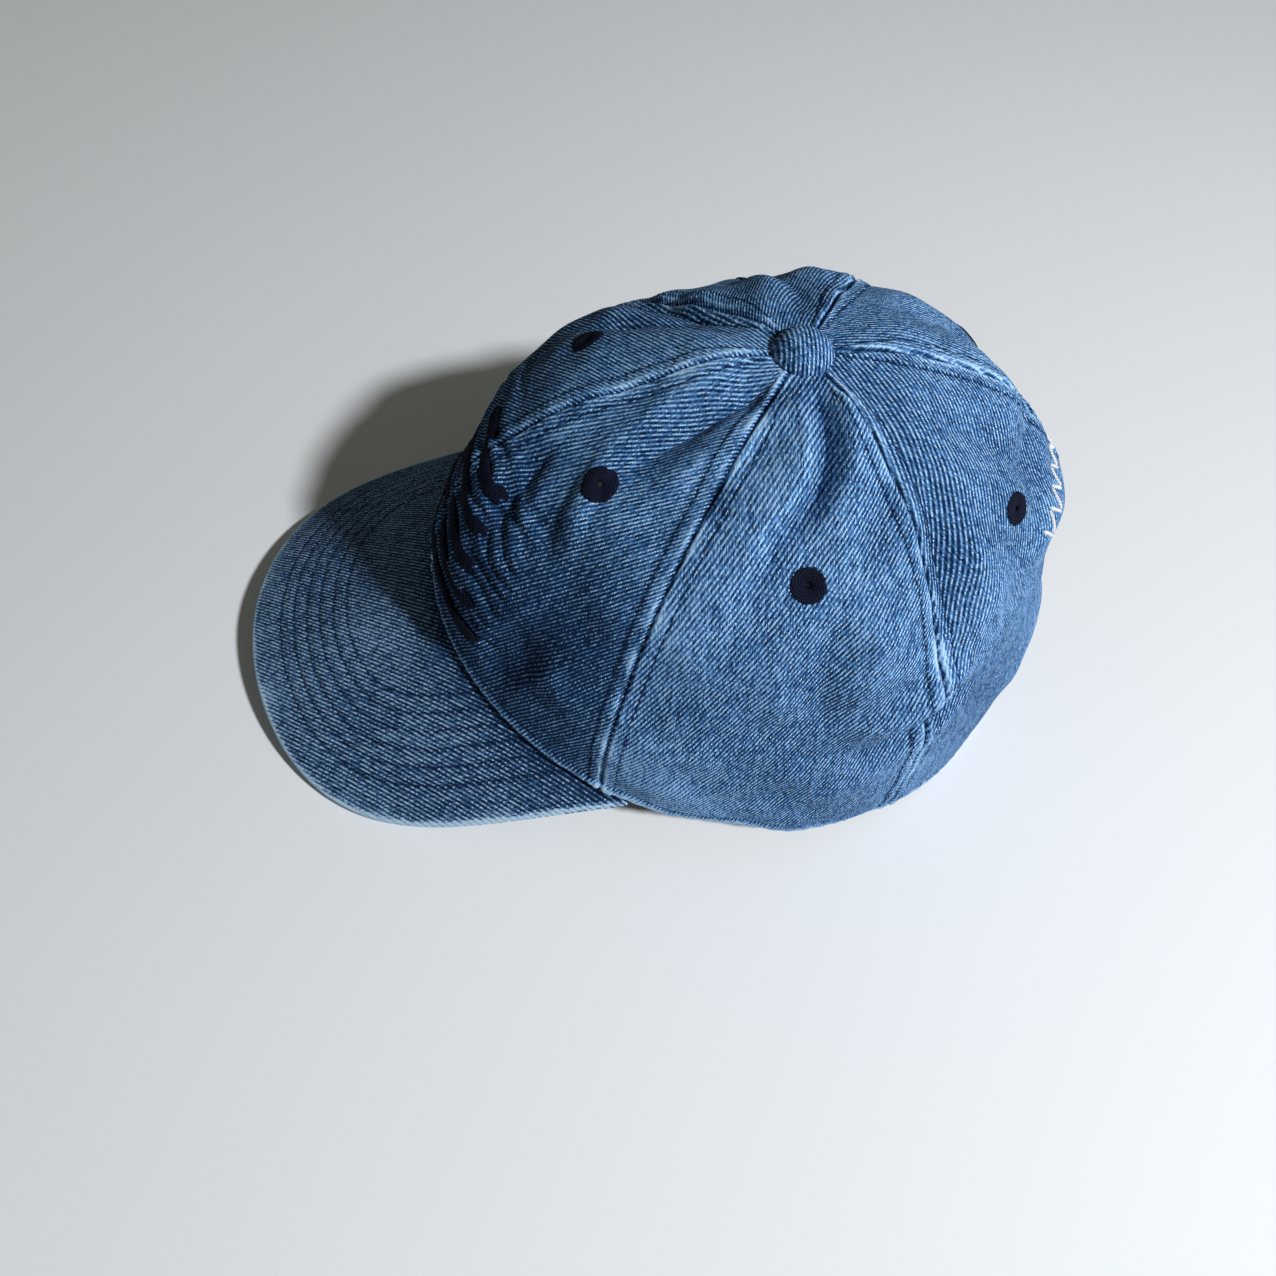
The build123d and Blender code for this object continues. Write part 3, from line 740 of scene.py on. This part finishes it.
def make_setting():
    half = 3.0
    corners = [(-half, -half, 0), (half, -half, 0), (half, half, 0), (-half, half, 0)]
    mesh = bpy.data.meshes.new("floor")
    mesh.from_pydata(corners, [], [(0, 1, 2, 3)])
    mesh.materials.append(floor_material())
    floor = bpy.data.objects.new("floor", mesh)
    bpy.context.scene.collection.objects.link(floor)
    make_light("key_light", "DISK", *KEY_LIGHT)
    make_light("fill_light", "RECTANGLE", *FILL_LIGHT)
    world = bpy.data.worlds.new("studio")
    world.use_nodes = True
    background = world.node_tree.nodes["Background"]
    background.inputs["Color"].default_value = WORLD_COLOUR
    background.inputs["Strength"].default_value = WORLD_STRENGTH
    bpy.context.scene.world = world
    bpy.context.scene.view_settings.view_transform = "Standard"


# ---- crown
def spread(total, near_start=True, near_end=True, zone=6.6, fine=0.44, coarse=1.05):
    """Places from 0 to total, closer together beside the seams."""
    start = np.arange(0, zone, fine) if near_start else np.zeros(1)
    end = total - (np.arange(0, zone, fine) if near_end else np.zeros(1))[::-1]
    gap = end[0] - start[-1]
    middle = np.linspace(start[-1], end[0], int(gap / coarse) + 2)[1:-1]
    return np.concatenate([start, middle, end])


ROWS = np.linspace(0, 1, 250)


def plain_grid(first, last):
    width = rate(np.array((first + last) / 2), 0.1) * (last - first)
    theta = first + (last - first) * spread(width)[:, None] / width
    low, high = at_height(theta, HEM), at_radius(theta, APEX_HOLE)
    return np.broadcast_to(theta, (len(theta), len(ROWS))), low + (high - low) * ROWS


def opening_grid():
    """The rear left panel: its lower edge runs along the rim, then up and over the opening."""
    corner, _ = locate(np.array(ARCH_HALF + HEM), np.array(HEM))
    rim_length = float(rate(np.array(2.4), 0.0) * (corner - REAR_SEAM))
    rim = REAR_SEAM + (corner - REAR_SEAM) * spread(rim_length, True, False) / rim_length
    rim_part = np.stack([rim, at_height(rim, HEM)])
    upright = np.stack(locate(np.full(14, ARCH_HALF + HEM), np.linspace(1.5, ARCH_STRAIGHT, 14)))
    arch_length = 52.0
    beta = pi / 2 * spread(arch_length, False, True, coarse=0.9)[1:] / arch_length
    x, z = (ARCH_HALF + HEM) * np.cos(beta), ARCH_STRAIGHT + (ARCH_ROUND + HEM) * np.sin(beta)
    over = np.stack(locate(x, z))
    theta, low = np.concatenate([rim_part, upright, over], 1)[..., None]
    travel = travelled(skin(theta[:, 0], low[:, 0]))
    even = REAR_SEAM + (pi - REAR_SEAM) * (travel / travel[-1])[:, None]
    blend = np.maximum(1 - ROWS / 0.45, 0) ** 2
    turned = even + (theta - even) * blend
    return turned, low + (at_radius(turned, APEX_HOLE) - low) * ROWS


def flat_cloth(first, last):
    """Returns a function from crown places to millimetres on the flat panel."""
    middle = (first + last) / 2
    angles = np.linspace(first - 0.02, last + 0.02, 60)
    shares = np.linspace(0, 1, 160)
    climb = travelled(skin(middle, shares))
    table = rate(angles[:, None], shares)
    width = np.cumsum(table, axis=0) * (angles[1] - angles[0])
    width -= np.stack([np.interp(middle, angles, width[:, i]) for i in range(len(shares))])

    def place(theta, t):
        column = np.clip((theta - angles[0]) / (angles[1] - angles[0]), 0, len(angles) - 1.001)
        row = np.clip(t * (len(shares) - 1), 0, len(shares) - 1.001)
        i, j = column.astype(int), row.astype(int)
        a, b = column - i, row - j
        low_side = width[i, j] * (1 - a) + width[i + 1, j] * a
        high_side = width[i, j + 1] * (1 - a) + width[i + 1, j + 1] * a
        return np.stack([low_side * (1 - b) + high_side * b, np.interp(t, shares, climb)], -1)
    return place


def crown_wear_and_painted_shade(theta, t):
    """Where washing has taken the colour out: edges, seam crests and the tops of folds. Also painted shade
    that darkens the lower front panels.
    """
    place = skin(theta, t)
    height = place[..., 2] - rim_lift(theta)
    gap = seam_place(theta, t)[0]
    line = stitch_gap(from_axis(place))
    patchy = 0.6 + 0.4 * waves(place, 13, 31)
    total = 0.85 * hill(height - 1.3, 0.9) + 0.10 * hill(height - 1, 4) - 0.3 * hill(height - 4, 0.5)
    total += 0.62 * hill(gap - 1.25, 0.7) * patchy - 0.50 * hill(gap, 0.5)
    total -= 0.35 * hill(gap - line, 0.45)
    total += 0.14 * hill(gap - 1.5 * line, 1.3) * patchy
    total += 0.13 * (1 - smooth(line - 0.6, line + 0.4, gap)) * patchy
    total += 0.4 * hill(arch_gap(place), 1.2)
    total += 0.045 * np.clip(sink(theta, t), -3, 3)
    # Painted shade: the lower half of the front panels is darkened to stand for the shade they lie in.
    painted_front_shade = smooth(.58, .38, t) * (1 - smooth(radians(54), radians(59), np.abs(wrap(theta))))
    return total + 0.06 * waves(place, 60, 32) - 0.48 * painted_front_shade


def make_panel(name):
    first, last = PANELS[name]
    if name == "rear_left":
        theta, t = opening_grid()
    elif name == "rear_right":
        theta, t = opening_grid()
        theta, t = -theta[::-1], t[::-1]
    else:
        theta, t = plain_grid(first, last)
    smooth_face = skin(theta, t)
    middle = (smooth_face[:-1, :-1] + smooth_face[1:, 1:]) / 2
    keep = norm(middle - skin((first + last) / 2, EYELET_RISE)) > EYELET_HOLE
    grids = [face(theta, t), layer(theta, t, CLOTH), flat_cloth(first, last)(theta, t),
             crown_wear_and_painted_shade(theta, t)]
    panel = shell(f"{name}_panel_cloth", *grids, [CROWN_DENIM, INSIDE_DENIM], keep=keep)
    finished(panel, "denim", f"{name}_panel")


def finished(piece, slot, *nodes, body="root"):
    if nodes:
        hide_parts(*nodes)
    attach(piece, body)


def sew(name, parts, body="root"):
    finished(merged(name, parts, [NAVY_THREAD]), "eyelet_thread", body=body)


def crown_stitches(theta, t):
    return stitches(face(theta, t), normal(theta, t))


def crown_stitch_parts():
    parts = []
    for name, seam in SEAMS.items():
        start = ARCH_STRAIGHT + ARCH_ROUND + 1.5 if name == "rear" else 2.5
        t = np.linspace(at_height(seam, start), at_radius(seam, 10.5), 500)
        gap = stitch_gap(from_axis(skin(seam, t)))
        for side in (-1, 1):
            parts.append(crown_stitches(seam + side * gap / rate(seam, t), t))
    reach, top = ARCH_HALF + ARCH_STITCH_GAP, ARCH_ROUND + ARCH_STITCH_GAP
    beta = np.linspace(0, pi, 240)
    upright = np.linspace(2, ARCH_STRAIGHT, 20)
    x = np.concatenate([np.full(20, reach), reach * np.cos(beta), np.full(20, -reach)])
    z = np.concatenate([upright, ARCH_STRAIGHT + top * np.sin(beta), upright[::-1]])
    parts.append(crown_stitches(*locate(x, z)))
    around = np.linspace(-RIM_STITCH_END, RIM_STITCH_END, 1800)
    parts.append(crown_stitches(around, at_height(around, RIM_STITCH_HEIGHT)))
    return parts


def make_eyelet(name):
    """Satin-stitched ring with a hole through it, lying on the cloth."""
    theta, t = sum(PANELS[name]) / 2, EYELET_RISE
    profile = [(4.68, -0.25), (4.62, 0.06), (4.3, 0.27), (3.6, 0.38), (2.8, 0.38), (2.0, 0.30),
               (1.3, 0.12), (0.7, -0.3), (0.7, -0.9), (1.3, -1.35), (2.2, -1.6), (3.4, -1.7),
               (4.2, -1.6), (4.5, -1.35), (4.62, -1.0), (4.68, -0.6)]
    threads, per_thread = 66, 5
    angle = tau * np.arange(threads * per_thread)[:, None] / (threads * per_thread)
    draw = np.random.default_rng(len(name) + 5)
    uneven = 0.03 * draw.normal(size=threads).repeat(per_thread)[:, None]
    ridge = 0.07 * np.abs(np.sin(angle * threads / 2))
    radius, rise = np.array(profile).T
    ring_radius = radius * (1 + uneven * smooth(2.5, 4.6, radius))
    ring_rise = rise + ridge * np.sign(rise + 0.55) * smooth(0.7, 2.0, radius)
    climb = norm(skin(theta, t + 0.01) - skin(theta, t - 0.01)) / 0.02
    around = theta + ring_radius * np.cos(angle) / rate(theta, t)
    higher = t + ring_radius * np.sin(angle) / climb
    rings = raised(around, higher, sink(around, higher) + ring_rise)
    index = closed_rings(*ring_rise.shape)[0]
    index = np.vstack([index, index[:1]])
    eyelet = make_object(f"{name}_eyelet_stitching", rings.reshape(-1, 3),
                         grid_faces(index, np.roll(index, -1, axis=1)), [EYELET_THREAD],
                         pairs(ring_radius, angle * 3).reshape(-1, 2))
    finished(eyelet, "eyelet_thread", f"{name}_eyelet")


def make_seam_tape(name):
    """Returns the tape's two rows of stitches."""
    seam = SEAMS[name]
    start = ARCH_STRAIGHT + ARCH_ROUND + FACING_WIDTH + 1 if name == "rear" else TAPE_START
    t = np.linspace(at_height(seam, start), at_radius(seam, TAPE_END_RADIUS), 150)[:, None]
    middle = skin(seam, t)
    half = 1 / (from_axis(middle) / TAPE_HALF_WIDTH + 2.2)
    side = np.linspace(1, -1, 25)
    theta = seam + half * side
    along = travelled(middle[:, 0])[:, None]
    pinch = 0.16 * hill(np.abs(side) - TAPE_STITCH_SHARE, 0.08)
    ripple = 0.08 * np.sin(tau * along / 5 + 3 * waves(skin(theta, t), 30, 41)) * np.abs(side)
    outer = layer(theta, t, TAPE_DEPTH)
    inner = layer(theta, t, TAPE_DEPTH + TAPE + ripple - pinch)
    tape = shell(f"{name}_seam_binding", outer, inner, pairs(side * TAPE_HALF_WIDTH, along), None,
                 [TAPE_CLOTH], rolls=2)
    finished(tape, "seam_tape", f"{name}_seam_tape")
    lines = [theta[:, 12] + sign * TAPE_STITCH_SHARE * half[:, 0] for sign in (-1, 1)]
    return [stitches(layer(line, t[:, 0], TAPE_DEPTH + TAPE), -normal(line, t[:, 0])) for line in lines]


def band_face(theta, height, depth):
    widens = smooth(*BAND_WIDENS, np.abs(wrap(theta)))
    band_depth = BAND_FRONT_DEPTH + (BAND_REAR_DEPTH - BAND_FRONT_DEPTH) * widens
    return layer(theta, at_height(theta, height), band_depth + depth)


def make_sweatband():
    """Returns the band and its two rows of stitches."""
    theta = np.linspace(-BAND_END, BAND_END, 420)[:, None]
    height = BAND_BASE + (BAND_HEIGHT - BAND_BASE) * np.linspace(0.015, 0.985, 40)
    place = skin(theta, at_height(theta, height))
    soft = 0.10 * waves(place, 9, 51) + 0.05 * np.sin(tau * theta * 80 / 5.5)
    pinch = 0.28 * sum(hill(height - level, 0.8) for level in BAND_STITCH_HEIGHTS)
    outer, inner = band_face(theta, height, 0.0), band_face(theta, height, BAND + soft - pinch)
    flat = pairs(theta * BAND_RADIUS, height)
    band = shell("sweatband_cotton_band", outer, inner, flat, None, [BAND_CLOTH])
    finished(band, "sweatband", "sweatband")
    line = np.linspace(-BAND_END + 0.02, BAND_END - 0.02, 900)
    return band, [stitches(band_face(line, level, BAND - 0.25), -normal(line, at_height(line, level)))
                  for level in BAND_STITCH_HEIGHTS]


def make_care_label():
    theta = np.linspace(LABEL_ANGLE - LABEL_HALF, LABEL_ANGLE + LABEL_HALF, 50)[:, None]
    height = np.linspace(6.2, 26.8, 50)
    curl = 0.5 * smooth(12, 27, height) * (0.5 + 0.5 * np.cos(theta * 60)) + 0.35
    outer, inner = (band_face(theta, height, BAND + curl + extra) for extra in (0, LABEL))
    flat = pairs(theta * BAND_RADIUS, height)
    label = shell("blank_care_label", outer, inner, flat, None, [LABEL_CLOTH], rolls=2)
    finished(label, "label", "care_label")


def make_opening_facing():
    upright = np.linspace(0.8, ARCH_STRAIGHT, 16)[:-1]
    across = np.linspace(0.03, 0.97, 16) * FACING_WIDTH
    turn = np.concatenate([np.zeros(15), np.linspace(0, pi, 150), np.full(15, pi)])[:, None]
    rise = np.concatenate([upright, np.full(150, ARCH_STRAIGHT), upright[::-1]])[:, None]
    theta, t = locate((ARCH_HALF + across) * np.cos(turn), rise + (ARCH_ROUND + across) * np.sin(turn))
    pinch = 0.2 * hill(across - ARCH_STITCH_GAP, 0.7)
    outer, inner = layer(theta, t, FACING_DEPTH), layer(theta, t, FACING_DEPTH + FACING - pinch)
    flat = pairs(across, travelled(outer[:, 0])[:, None])
    facing = shell("opening_facing_tape", outer, inner, flat, None, [FACING_CLOTH], rolls=2)
    finished(facing, "denim_facing", "opening_facing")


# ---- embroidery
def make_front_embroidery():
    """Five wavy bars, a plain pattern in place of what such a cap usually carries."""
    bars = []
    for row in range(5):
        reach = radians(27 - 3.2 * row)
        theta = np.linspace(-reach, reach, 400)
        t = 0.105 + 0.068 * row + 0.010 * np.sin(theta * 14.0 + 0.9 * row)
        bars.append(satin_bar(layer(theta, t, -0.15), normal(theta, t), 2.5, 0.75))
    finished(merged("front_wave_embroidery", bars, [EYELET_THREAD]), "eyelet_thread")


def make_rear_embroidery():
    """A plain white zigzag that arches over the rear opening, below the eyelets."""
    bars, count = [], 20
    for number in range(count):
        shares = np.linspace(number + 0.10, number + 0.90, 30) / count
        theta = radians(152.5) + radians(55) * shares
        middle = 0.494 - 0.044 * ((theta - pi) / radians(27.5)) ** 2
        climb = np.linspace(-0.017, 0.017, 30) * (1 if number % 2 else -1)
        t = middle + climb
        ground = layer(theta, t, -0.1 - 0.5 * hill((theta - pi) * 60, 6))
        bars.append(satin_bar(ground, normal(theta, t), 0.5, 0.45, 0.4))
    finished(merged("rear_zigzag_embroidery", bars, [WHITE_THREAD]), "label")


# ---- brim
def brim_height(x, y):
    scale = np.hypot(x / HALF_WIDTH, y / FRONT_LENGTH)
    out = (scale - 1) * np.hypot(x, y) / scale
    ease = BRIM_UPTURN * (out / BRIM_LENGTH) ** 2
    return FRONT_RIM_LIFT - BRIM_DROP - ARCH_RATE * x * x - BRIM_SLOPE * out + ease


def brim_normal(x, y, step=0.05):
    slope_x = (brim_height(x + step, y) - brim_height(x - step, y)) / (2 * step)
    slope_y = (brim_height(x, y + step) - brim_height(x, y - step)) / (2 * step)
    return unit(np.stack([-slope_x, -slope_y, np.ones(np.shape(slope_x))], -1))


def brim_outline(side):
    """Plan of the brim's edge; side from -1 to 1."""
    angle = side * pi / 2
    corner_y = -FRONT_LENGTH * cos(BRIM_ANGLE)
    forward = np.clip(np.cos(angle), 0, 1) ** BRIM_TIP_POWER
    x = BRIM_HALF_WIDTH * np.sign(angle) * np.abs(np.sin(angle)) ** BRIM_SIDE_POWER
    return np.stack([x, corner_y - (FRONT_LENGTH + BRIM_LENGTH + corner_y) * forward], -1)


def even_sides(count):
    """Values of side that space the columns evenly along the edge and along the crown."""
    near = 1 - np.linspace(1, 0, 4000) ** 3
    fine = np.concatenate([-near[::-1], near[1:]])
    travel = travelled(brim_outline(fine))
    measure = 0.8 * travel / travel[-1] + 0.2 * (fine + 1) / 2
    return np.interp(np.linspace(0, 1, count), measure, fine)


OUTLINE = brim_outline(even_sides(900))


def edge_gap(x, y):
    """Distance in plan from the brim's edge."""
    flat = np.stack([x.ravel(), y.ravel()], -1)
    gap = np.empty(len(flat))
    for start in range(0, len(flat), 8000):
        part = flat[start:start + 8000]
        gap[start:start + 8000] = np.sqrt(((part[:, None] - OUTLINE) ** 2).sum(-1).min(1))
    return gap.reshape(x.shape)


def brim_relief(x, y):
    """Sewn channels: the cloth is drawn in along each row and puffs between them."""
    place = np.stack([x, y, 0 * x], -1)
    gap = edge_gap(x, y)
    total = 0.16 * waves(place, 24, 61) + 0.05 * waves(place, 7, 62)
    total *= smooth(0, 5, gap)
    between = 0.5 - 0.5 * np.cos(tau * (gap - BRIM_ROWS[0]) / (BRIM_ROWS[1] - BRIM_ROWS[0]))
    sewn = smooth(BRIM_ROWS[0] - 1, BRIM_ROWS[0], gap) * (1 - smooth(BRIM_ROWS[-1], BRIM_ROWS[-1] + 1, gap))
    total += 0.15 * between * sewn
    return total - 0.34 * sum(hill(gap - row, 0.42) for row in BRIM_ROWS), gap


def brim_surface(x, y, depth):
    return np.stack([x, y, brim_height(x, y)], -1) - brim_normal(x, y) * depth[..., None]


def brim_cloth(name, sense, radius_in, *nodes):
    """Half of the brim's cover: sense 1 is the top, -1 the underside. Its edge is a turned roll."""
    side = even_sides(350)[:, None]
    inner_x = (HALF_WIDTH - BRIM_INSERT) * np.sin(side * BRIM_ANGLE)
    inner_y = -(FRONT_LENGTH - BRIM_INSERT) * np.cos(side * BRIM_ANGLE)
    outer_x, outer_y = brim_outline(side).T[:, 0, :, None]
    span = np.hypot(outer_x - inner_x, outer_y - inner_y)
    roll = BRIM_THICKNESS / 2
    roll_x = np.clip(0.04 * span, 0.25, roll)
    turn = np.concatenate([np.zeros(132), radians(90) * np.arange(1, 9) / 8])
    reach = np.concatenate([np.linspace(0, 1, 132), np.ones(8)])

    def plan_place(radius, tuck):
        out = (1 - roll_x / span) * reach + np.sin(turn) * roll_x * (radius / roll) * tuck / span
        return inner_x + (outer_x - inner_x) * out, inner_y + (outer_y - inner_y) * out

    x, y = plan_place(roll, 1 - 0.10 * smooth(radians(60), radians(90), turn))
    rise, gap = brim_relief(x, y)
    outer = brim_surface(x, y, roll - sense * (roll + rise) * np.cos(turn))
    inner_place = plan_place(radius_in, 1)
    inner = brim_surface(*inner_place, roll - sense * radius_in * np.cos(turn) + 0 * x)
    wear = 1.15 * hill(gap - 0.8, 0.9) + 0.20 * hill(gap - 1, 3.5) * (0.6 + 0.4 * waves(outer, 14, 63))
    wear -= 0.30 * sum(hill(gap - row, 0.5) for row in BRIM_ROWS)
    # The smooth(y) term is painted shade: the brim grows darker towards the crown and its back corners.
    wear += 0.06 * waves(outer, 45, 64) - 0.24 * smooth(-125, -60, y)
    # Painted shadow: a dark strip on the brim along the crown's edge, standing for the shade the crown
    # casts there.
    from_crown = (np.hypot(x / HALF_WIDTH, y / FRONT_LENGTH) - 1) * 90
    wear -= 0.5 * hill(np.maximum(from_crown, 0), 3.5)
    grids = [outer, inner, np.stack([sense * x, 1.08 * y], -1), wear]
    cloth = shell(name, *(grid[::sense] for grid in grids), [BRIM_SHADED_DENIM, INSIDE_DENIM], rolls=1)
    finished(cloth, "denim", *nodes)
    return cloth


def brim_stitch_parts():
    parts = []
    along = unit(np.gradient(OUTLINE, axis=0))
    inward = np.stack([-along[:, 1], along[:, 0]], -1)
    for sense in (1, -1):
        for row in BRIM_ROWS:
            x, y = (OUTLINE + inward * row).T
            scale = np.hypot(x / HALF_WIDTH, y / FRONT_LENGTH)
            bad = np.flatnonzero((edge_gap(x, y) <= row - 0.06) | (scale <= 0.998))
            middle = len(x) // 2
            run = slice(bad[bad < middle].max(initial=-1) + 1, bad[bad >= middle].min(initial=len(x)))
            x, y = x[run], y[run]
            depth = (0.0 if sense > 0 else BRIM_THICKNESS) - sense * brim_relief(x, y)[0]
            path, up = brim_surface(x, y, depth), sense * brim_normal(x, y)
            parts.append(stitches(path, up, length=2.8, pitch=3.5, radius=0.20, proud=0.05))
    return parts


# ---- button
def make_button():
    """Denim stretched over the metal shell and gathered under its edge."""
    ball = (BUTTON_RADIUS ** 2 + BUTTON_HEIGHT ** 2) / (2 * BUTTON_HEIGHT)
    bend = acos((ball - BUTTON_HEIGHT) / ball) * np.arange(27) / 26
    dome = pairs(ball * np.sin(bend), BUTTON_HEIGHT - ball + ball * np.cos(bend))
    under = [(BUTTON_RADIUS - 0.05, -0.35), (BUTTON_RADIUS - 0.45, -0.65), (BUTTON_RADIUS - 0.95, -0.5)]
    hollow = dome[::-1] * [(BUTTON_RADIUS - 0.85) / BUTTON_RADIUS, 0.85]
    profile = np.concatenate([dome, under, hollow])
    radius, height = profile[1:-1].T[..., None]
    angle = tau * np.arange(144) / 144
    gather = 0.012 * np.cos(17 * angle + 1.3) + 0.008 * np.cos(29 * angle)
    ring = radius * (1 + smooth(3.0, 0.0, height) * gather)
    body = np.stack([ring * np.cos(angle), ring * np.sin(angle), height + 0 * ring], -1).reshape(-1, 3)
    tips = [[0, 0, profile[0, 1]], [0, 0, profile[-1, 1]]]
    points = np.vstack([body, tips]) + [0, APEX_Y, CROWN_HEIGHT]
    index, after = closed_rings(len(radius), len(angle))
    first, last = len(body), len(body) + 1
    faces = grid_faces(index, after)
    faces += [[first, *edge] for edge in pairs(index[0], after[0]).tolist()]
    faces += [[last, *edge] for edge in pairs(after[-1], index[-1]).tolist()]
    turned = np.array([[cos(TWILL_ON_BUTTON), sin(TWILL_ON_BUTTON)],
                       [-sin(TWILL_ON_BUTTON), cos(TWILL_ON_BUTTON)]])
    cover = make_object("button_denim_cover", points, faces, [CROWN_DENIM], points[:, :2] @ turned)
    finished(cover, "denim", "button_cover")


# ---- strap
def strap_point(angle, radius, z):
    """angle from the nape, positive to the wearer's left."""
    angle, radius, z = np.broadcast_arrays(angle, radius, z)
    return np.stack([radius * np.sin(angle), STRAP_CENTRE_Y + radius * np.cos(angle), z], -1)


def make_strap():
    angle = np.linspace(STRAP_HALF_ANGLE, -STRAP_HALF_ANGLE, 230)[:, None]
    z = np.linspace(STRAP_LOW + STRAP / 2, STRAP_HIGH - STRAP / 2, 40)
    edge = np.minimum(z - STRAP_LOW, STRAP_HIGH - z)
    grip = 0.10 * hill(edge - 2.4, 0.6) - 0.06 * hill(edge - 1.2, 0.8)
    along = angle * STRAP_RADIUS
    soft = 0.04 * np.sin(tau * along / 4.4 + z) * hill(edge - 2, 2)
    outer = strap_point(angle, STRAP_RADIUS + STRAP / 2 - grip + soft, z)
    inner = strap_point(angle, STRAP_RADIUS - STRAP / 2 + grip, z)
    wear = 0.35 * hill(edge - 0.7, 0.8) - 0.2 * hill(edge - 2.4, 0.6) + 0 * soft
    strap = shell("rear_strap_denim", outer, inner, pairs(-along, z), wear, [CROWN_DENIM], rolls=5)
    finished(strap, "denim", "rear_strap", body="strap")
    line = np.linspace(STRAP_HALF_ANGLE - 0.02, -STRAP_HALF_ANGLE + 0.02, 400)
    away = strap_point(line, 1.0, 0.0) - strap_point(line, 0.0, 0.0)
    rows = []
    for level in (STRAP_LOW + STRAP_STITCH_INSET, STRAP_HIGH - STRAP_STITCH_INSET):
        for sense in (1, -1):
            path = strap_point(line, STRAP_RADIUS + sense * (STRAP / 2 - 0.1), level)
            rows.append(stitches(path, sense * away, proud=0.02))
    sew("rear_strap_stitches", rows, body="strap")


def make_buckle_loop():
    """A tape round the buckle's bar, sewn in behind the wearer's right edge of the opening."""
    bar_angle = BUCKLE_ANGLE + atan2(BAR_ALONG, BAR_OUT)
    bar_reach = hypot(BAR_ALONG, BAR_OUT)
    bend = BAR_RADIUS + LOOP_CLOTH / 2
    tail = strap_point(np.linspace(-LOOP_END_ANGLE, -bar_angle - 0.004, 70), bar_reach - bend, 0.0)
    bar = strap_point(-bar_angle, bar_reach, 0.0)
    inward = strap_point(-bar_angle, 0.0, 0.0) - bar
    turn = atan2(inward[1], inward[0]) + radians(300) * np.linspace(0, 1, 50)
    wrapped = bar + bend * np.stack([np.cos(turn), np.sin(turn), 0 * turn], -1)
    path = np.concatenate([tail[:-1], wrapped])
    ahead = unit(np.gradient(path, axis=0))
    left = np.stack([-ahead[:, 1], ahead[:, 0], 0 * ahead[:, 0]], -1)[:, None] * (LOOP_CLOTH / 2 - 0.02)
    z = np.linspace(STRAP_LOW + 0.4, STRAP_HIGH - 0.4, 34)
    base = path[:, None] + np.stack([0 * z, 0 * z, z], -1)
    travel = travelled(path)[:, None]
    wear = 0.3 * hill(np.minimum(z - STRAP_LOW, STRAP_HIGH - z), 1.2) + 0 * travel
    grids = [base + left, base - left, pairs(travel, z), wear]
    loop = shell("buckle_loop_denim", *(grid[::-1] for grid in grids), [CROWN_DENIM], rolls=3)
    finished(loop, "denim", "buckle_loop")


# ---- the carried-over CAD pieces
CAD_MATERIALS = {"brim_board": BOARD, "button_shell": STEEL, "button_rivet": STEEL, "button_washer": STEEL,
                 "buckle_frame": BRASS, "buckle_pin": BRASS, "buckle_lever": BRASS}


def dress_cad_nodes():
    for name, material in CAD_MATERIALS.items():
        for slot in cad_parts[name].material_slots:
            slot.material = material


def make_crown():
    for name in PANELS:
        make_panel(name)
    sew("crown_topstitching", crown_stitch_parts())
    for name in PANELS:
        make_eyelet(name)
    make_front_embroidery()
    make_rear_embroidery()
    make_button()


def make_inside():
    rows = [row for name in SEAMS for row in make_seam_tape(name)]
    band, band_rows = make_sweatband()
    sew("inside_stitching", rows + band_rows)
    make_care_label()
    make_opening_facing()


def make_brim():
    top = brim_cloth("brim_top_denim", 1, 0.85, "brim_top_cloth", "brim_edge_seam")
    under = brim_cloth("brim_under_denim", -1, 0.95, "brim_under_cloth")
    sew("brim_stitching", brim_stitch_parts())


def main():
    make_camera()
    make_setting()
    make_crown()
    make_inside()
    make_brim()
    make_strap()
    make_buckle_loop()
    dress_cad_nodes()


main()
